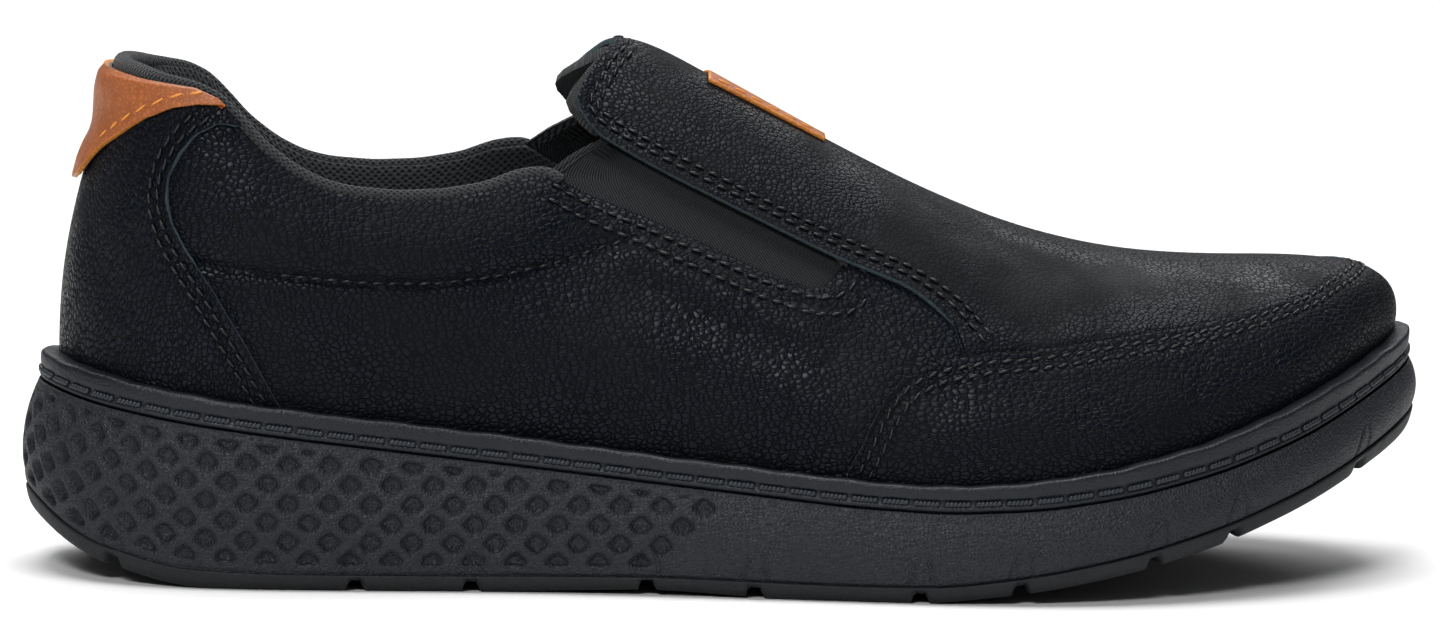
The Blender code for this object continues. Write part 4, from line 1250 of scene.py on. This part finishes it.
def seam_rows():
    """Rows of black thread: line, lift over the quarter's face."""
    rows = []
    for inside in COUNTER_ROWS:
        row = dense(stepped(inside, counter_line()))
        row = row[row[:, 1] < read(COLLAR_EDGE, row[:, 0]) - 3.0]
        for line in both(row):
            rows.append((line, OVERLAY + 0.2))
    for inside in FLAP_ROWS:
        for line in both(stepped(inside, flap_line())):
            rows.append((line, OVERLAY + 0.2))
    for inside in GORE_ROWS:
        for line in both(stepped(-inside, GORE_ROW)):
            rows.append((line, 0.05))
    for line in both([(s, c) for s, c in PAD_SEAM if s > 0.12]):
        rows.append((line, -0.75))
    for inside in MUDGUARD_ROWS:
        rows.append((stepped(-inside, mudguard_line()), OVERLAY + 0.4))
    return rows


def build_stitches(finish):
    """Doubled rows of black thread, and orange ones on the tan patches."""
    black = []
    for line, lift in seam_rows():
        points, normals = on_skin(dense(line), lift)
        black.append(sewn(points, normals, STITCH_PITCH, STITCH, 0.18))
    piece("seam_stitches", thread_mesh("seam_stitches", black), [finish["thread"]])

    shares = np.linspace(-0.148, 0.148, 60)
    tab_row = np.stack([shares, read(TAB_EDGE, np.abs(shares)) + 2.4], -1)
    points, normals = on_skin(dense(tab_row), 2 * OVERLAY + 0.35)
    orange = [sewn(points, normals, TAN_STITCH_PITCH, (3.1, 0.6, 0.6), 0.1)]
    for side in (1, -1):
        tag_shares = np.linspace(0.490, 0.561, 30)
        tag_row = np.stack([tag_shares * side, full_climb(tag_shares * side) - 4.4], -1)
        points, normals = on_skin(dense(tag_row), OVERLAY + 0.2 + TAG_THICKNESS)
        orange.append(sewn(points, normals, 4.0, (3.0, 0.6, 0.6), 0.1))
    piece("tan_stitches", thread_mesh("tan_stitches", orange), [finish["tan_thread"]])


# Camera, floor and light

CAMERA_AZIMUTH = math.radians(-7.0)
CAMERA_ELEVATION = math.radians(7.0)
CAMERA_ROLL = math.radians(1.3)
CAMERA_DISTANCE = 1700.0        # mm
PIXELS_PER_MM = 4.712           # in the photograph, 1440 pixels wide, at the target
TARGET = Vector((-2.6, 0.0, 53.7))
PHOTO_WIDTH = 1440


def build_camera():
    back = Vector((math.sin(CAMERA_AZIMUTH) * math.cos(CAMERA_ELEVATION),
                   -math.cos(CAMERA_AZIMUTH) * math.cos(CAMERA_ELEVATION), math.sin(CAMERA_ELEVATION)))
    level = Vector((math.cos(CAMERA_AZIMUTH), math.sin(CAMERA_AZIMUTH), 0.0))
    upright = back.cross(level)
    right = level * math.cos(CAMERA_ROLL) + upright * math.sin(CAMERA_ROLL)
    up = upright * math.cos(CAMERA_ROLL) - level * math.sin(CAMERA_ROLL)
    lens = bpy.data.cameras.new("photo_camera")
    lens.sensor_fit = "HORIZONTAL"
    lens.sensor_width = 36.0
    lens.lens = PIXELS_PER_MM * CAMERA_DISTANCE / PHOTO_WIDTH * lens.sensor_width
    lens.clip_end = 50.0
    camera = bpy.data.objects.new("photo_camera", lens)
    turned = Matrix((right, up, back)).transposed().to_4x4()
    camera.matrix_world = Matrix.Translation((TARGET + back * CAMERA_DISTANCE) * MM) @ turned
    bpy.context.scene.collection.objects.link(camera)
    bpy.context.scene.camera = camera


def softbox(name, place, size, power, target=(0.0, 0.0, 0.05)):
    light = bpy.data.lights.new(name, "AREA")
    light.shape = "RECTANGLE"
    light.size, light.size_y = size
    light.energy = power
    lamp = bpy.data.objects.new(name, light)
    way = Vector(place) - Vector(target)
    lamp.matrix_world = Matrix.Translation(place) @ way.to_track_quat("Z", "Y").to_matrix().to_4x4()
    bpy.context.scene.collection.objects.link(lamp)


def build_studio():
    mesh = bmesh.new()
    bmesh.ops.create_circle(mesh, cap_ends=True, segments=64, radius=9.0)
    floor = bpy.data.objects.new("studio_floor", mesh_data("studio_floor", mesh))
    paper, _, _ = new_finish("white_paper_sweep", Base_Color=srgb("#f4f4f4"), Roughness=0.9)
    floor.data.materials.append(paper)
    bpy.context.scene.collection.objects.link(floor)
    softbox("overhead_softbox", (0.0, 0.0, 1.6), (1.3, 0.9), 21)
    softbox("front_softbox", (-0.55, -1.4, 1.1), (0.5, 0.3), 14)
    softbox("sweep_light", (0.0, 2.6, 2.0), (4.0, 1.5), 70, (0.0, 2.6, 0.0))
    world = bpy.data.worlds.new("studio")
    world.use_nodes = True
    shade = world.node_tree.nodes["Background"]
    shade.inputs["Color"].default_value = (1, 1, 1, 1)
    shade.inputs["Strength"].default_value = 0.10
    bpy.context.scene.world = world
    bpy.context.scene.view_settings.view_transform = "Standard"
    bpy.context.scene.view_settings.look = "Medium High Contrast"


def main():
    finish = make_finishes()
    build_wall(finish)
    build_welt(finish)
    build_outsole(finish)
    build_footbed(finish)
    build_quarters(finish)
    build_vamp(finish)
    build_mudguard(finish)
    build_counter(finish)
    build_tab(finish)
    build_gore("gore_outer_side", 1, finish)
    build_gore("gore_inner_side", -1, finish)
    build_collar(finish)
    build_tongue_lining(finish)
    build_tag(finish)
    build_stitches(finish)
    build_camera()
    build_studio()


main()
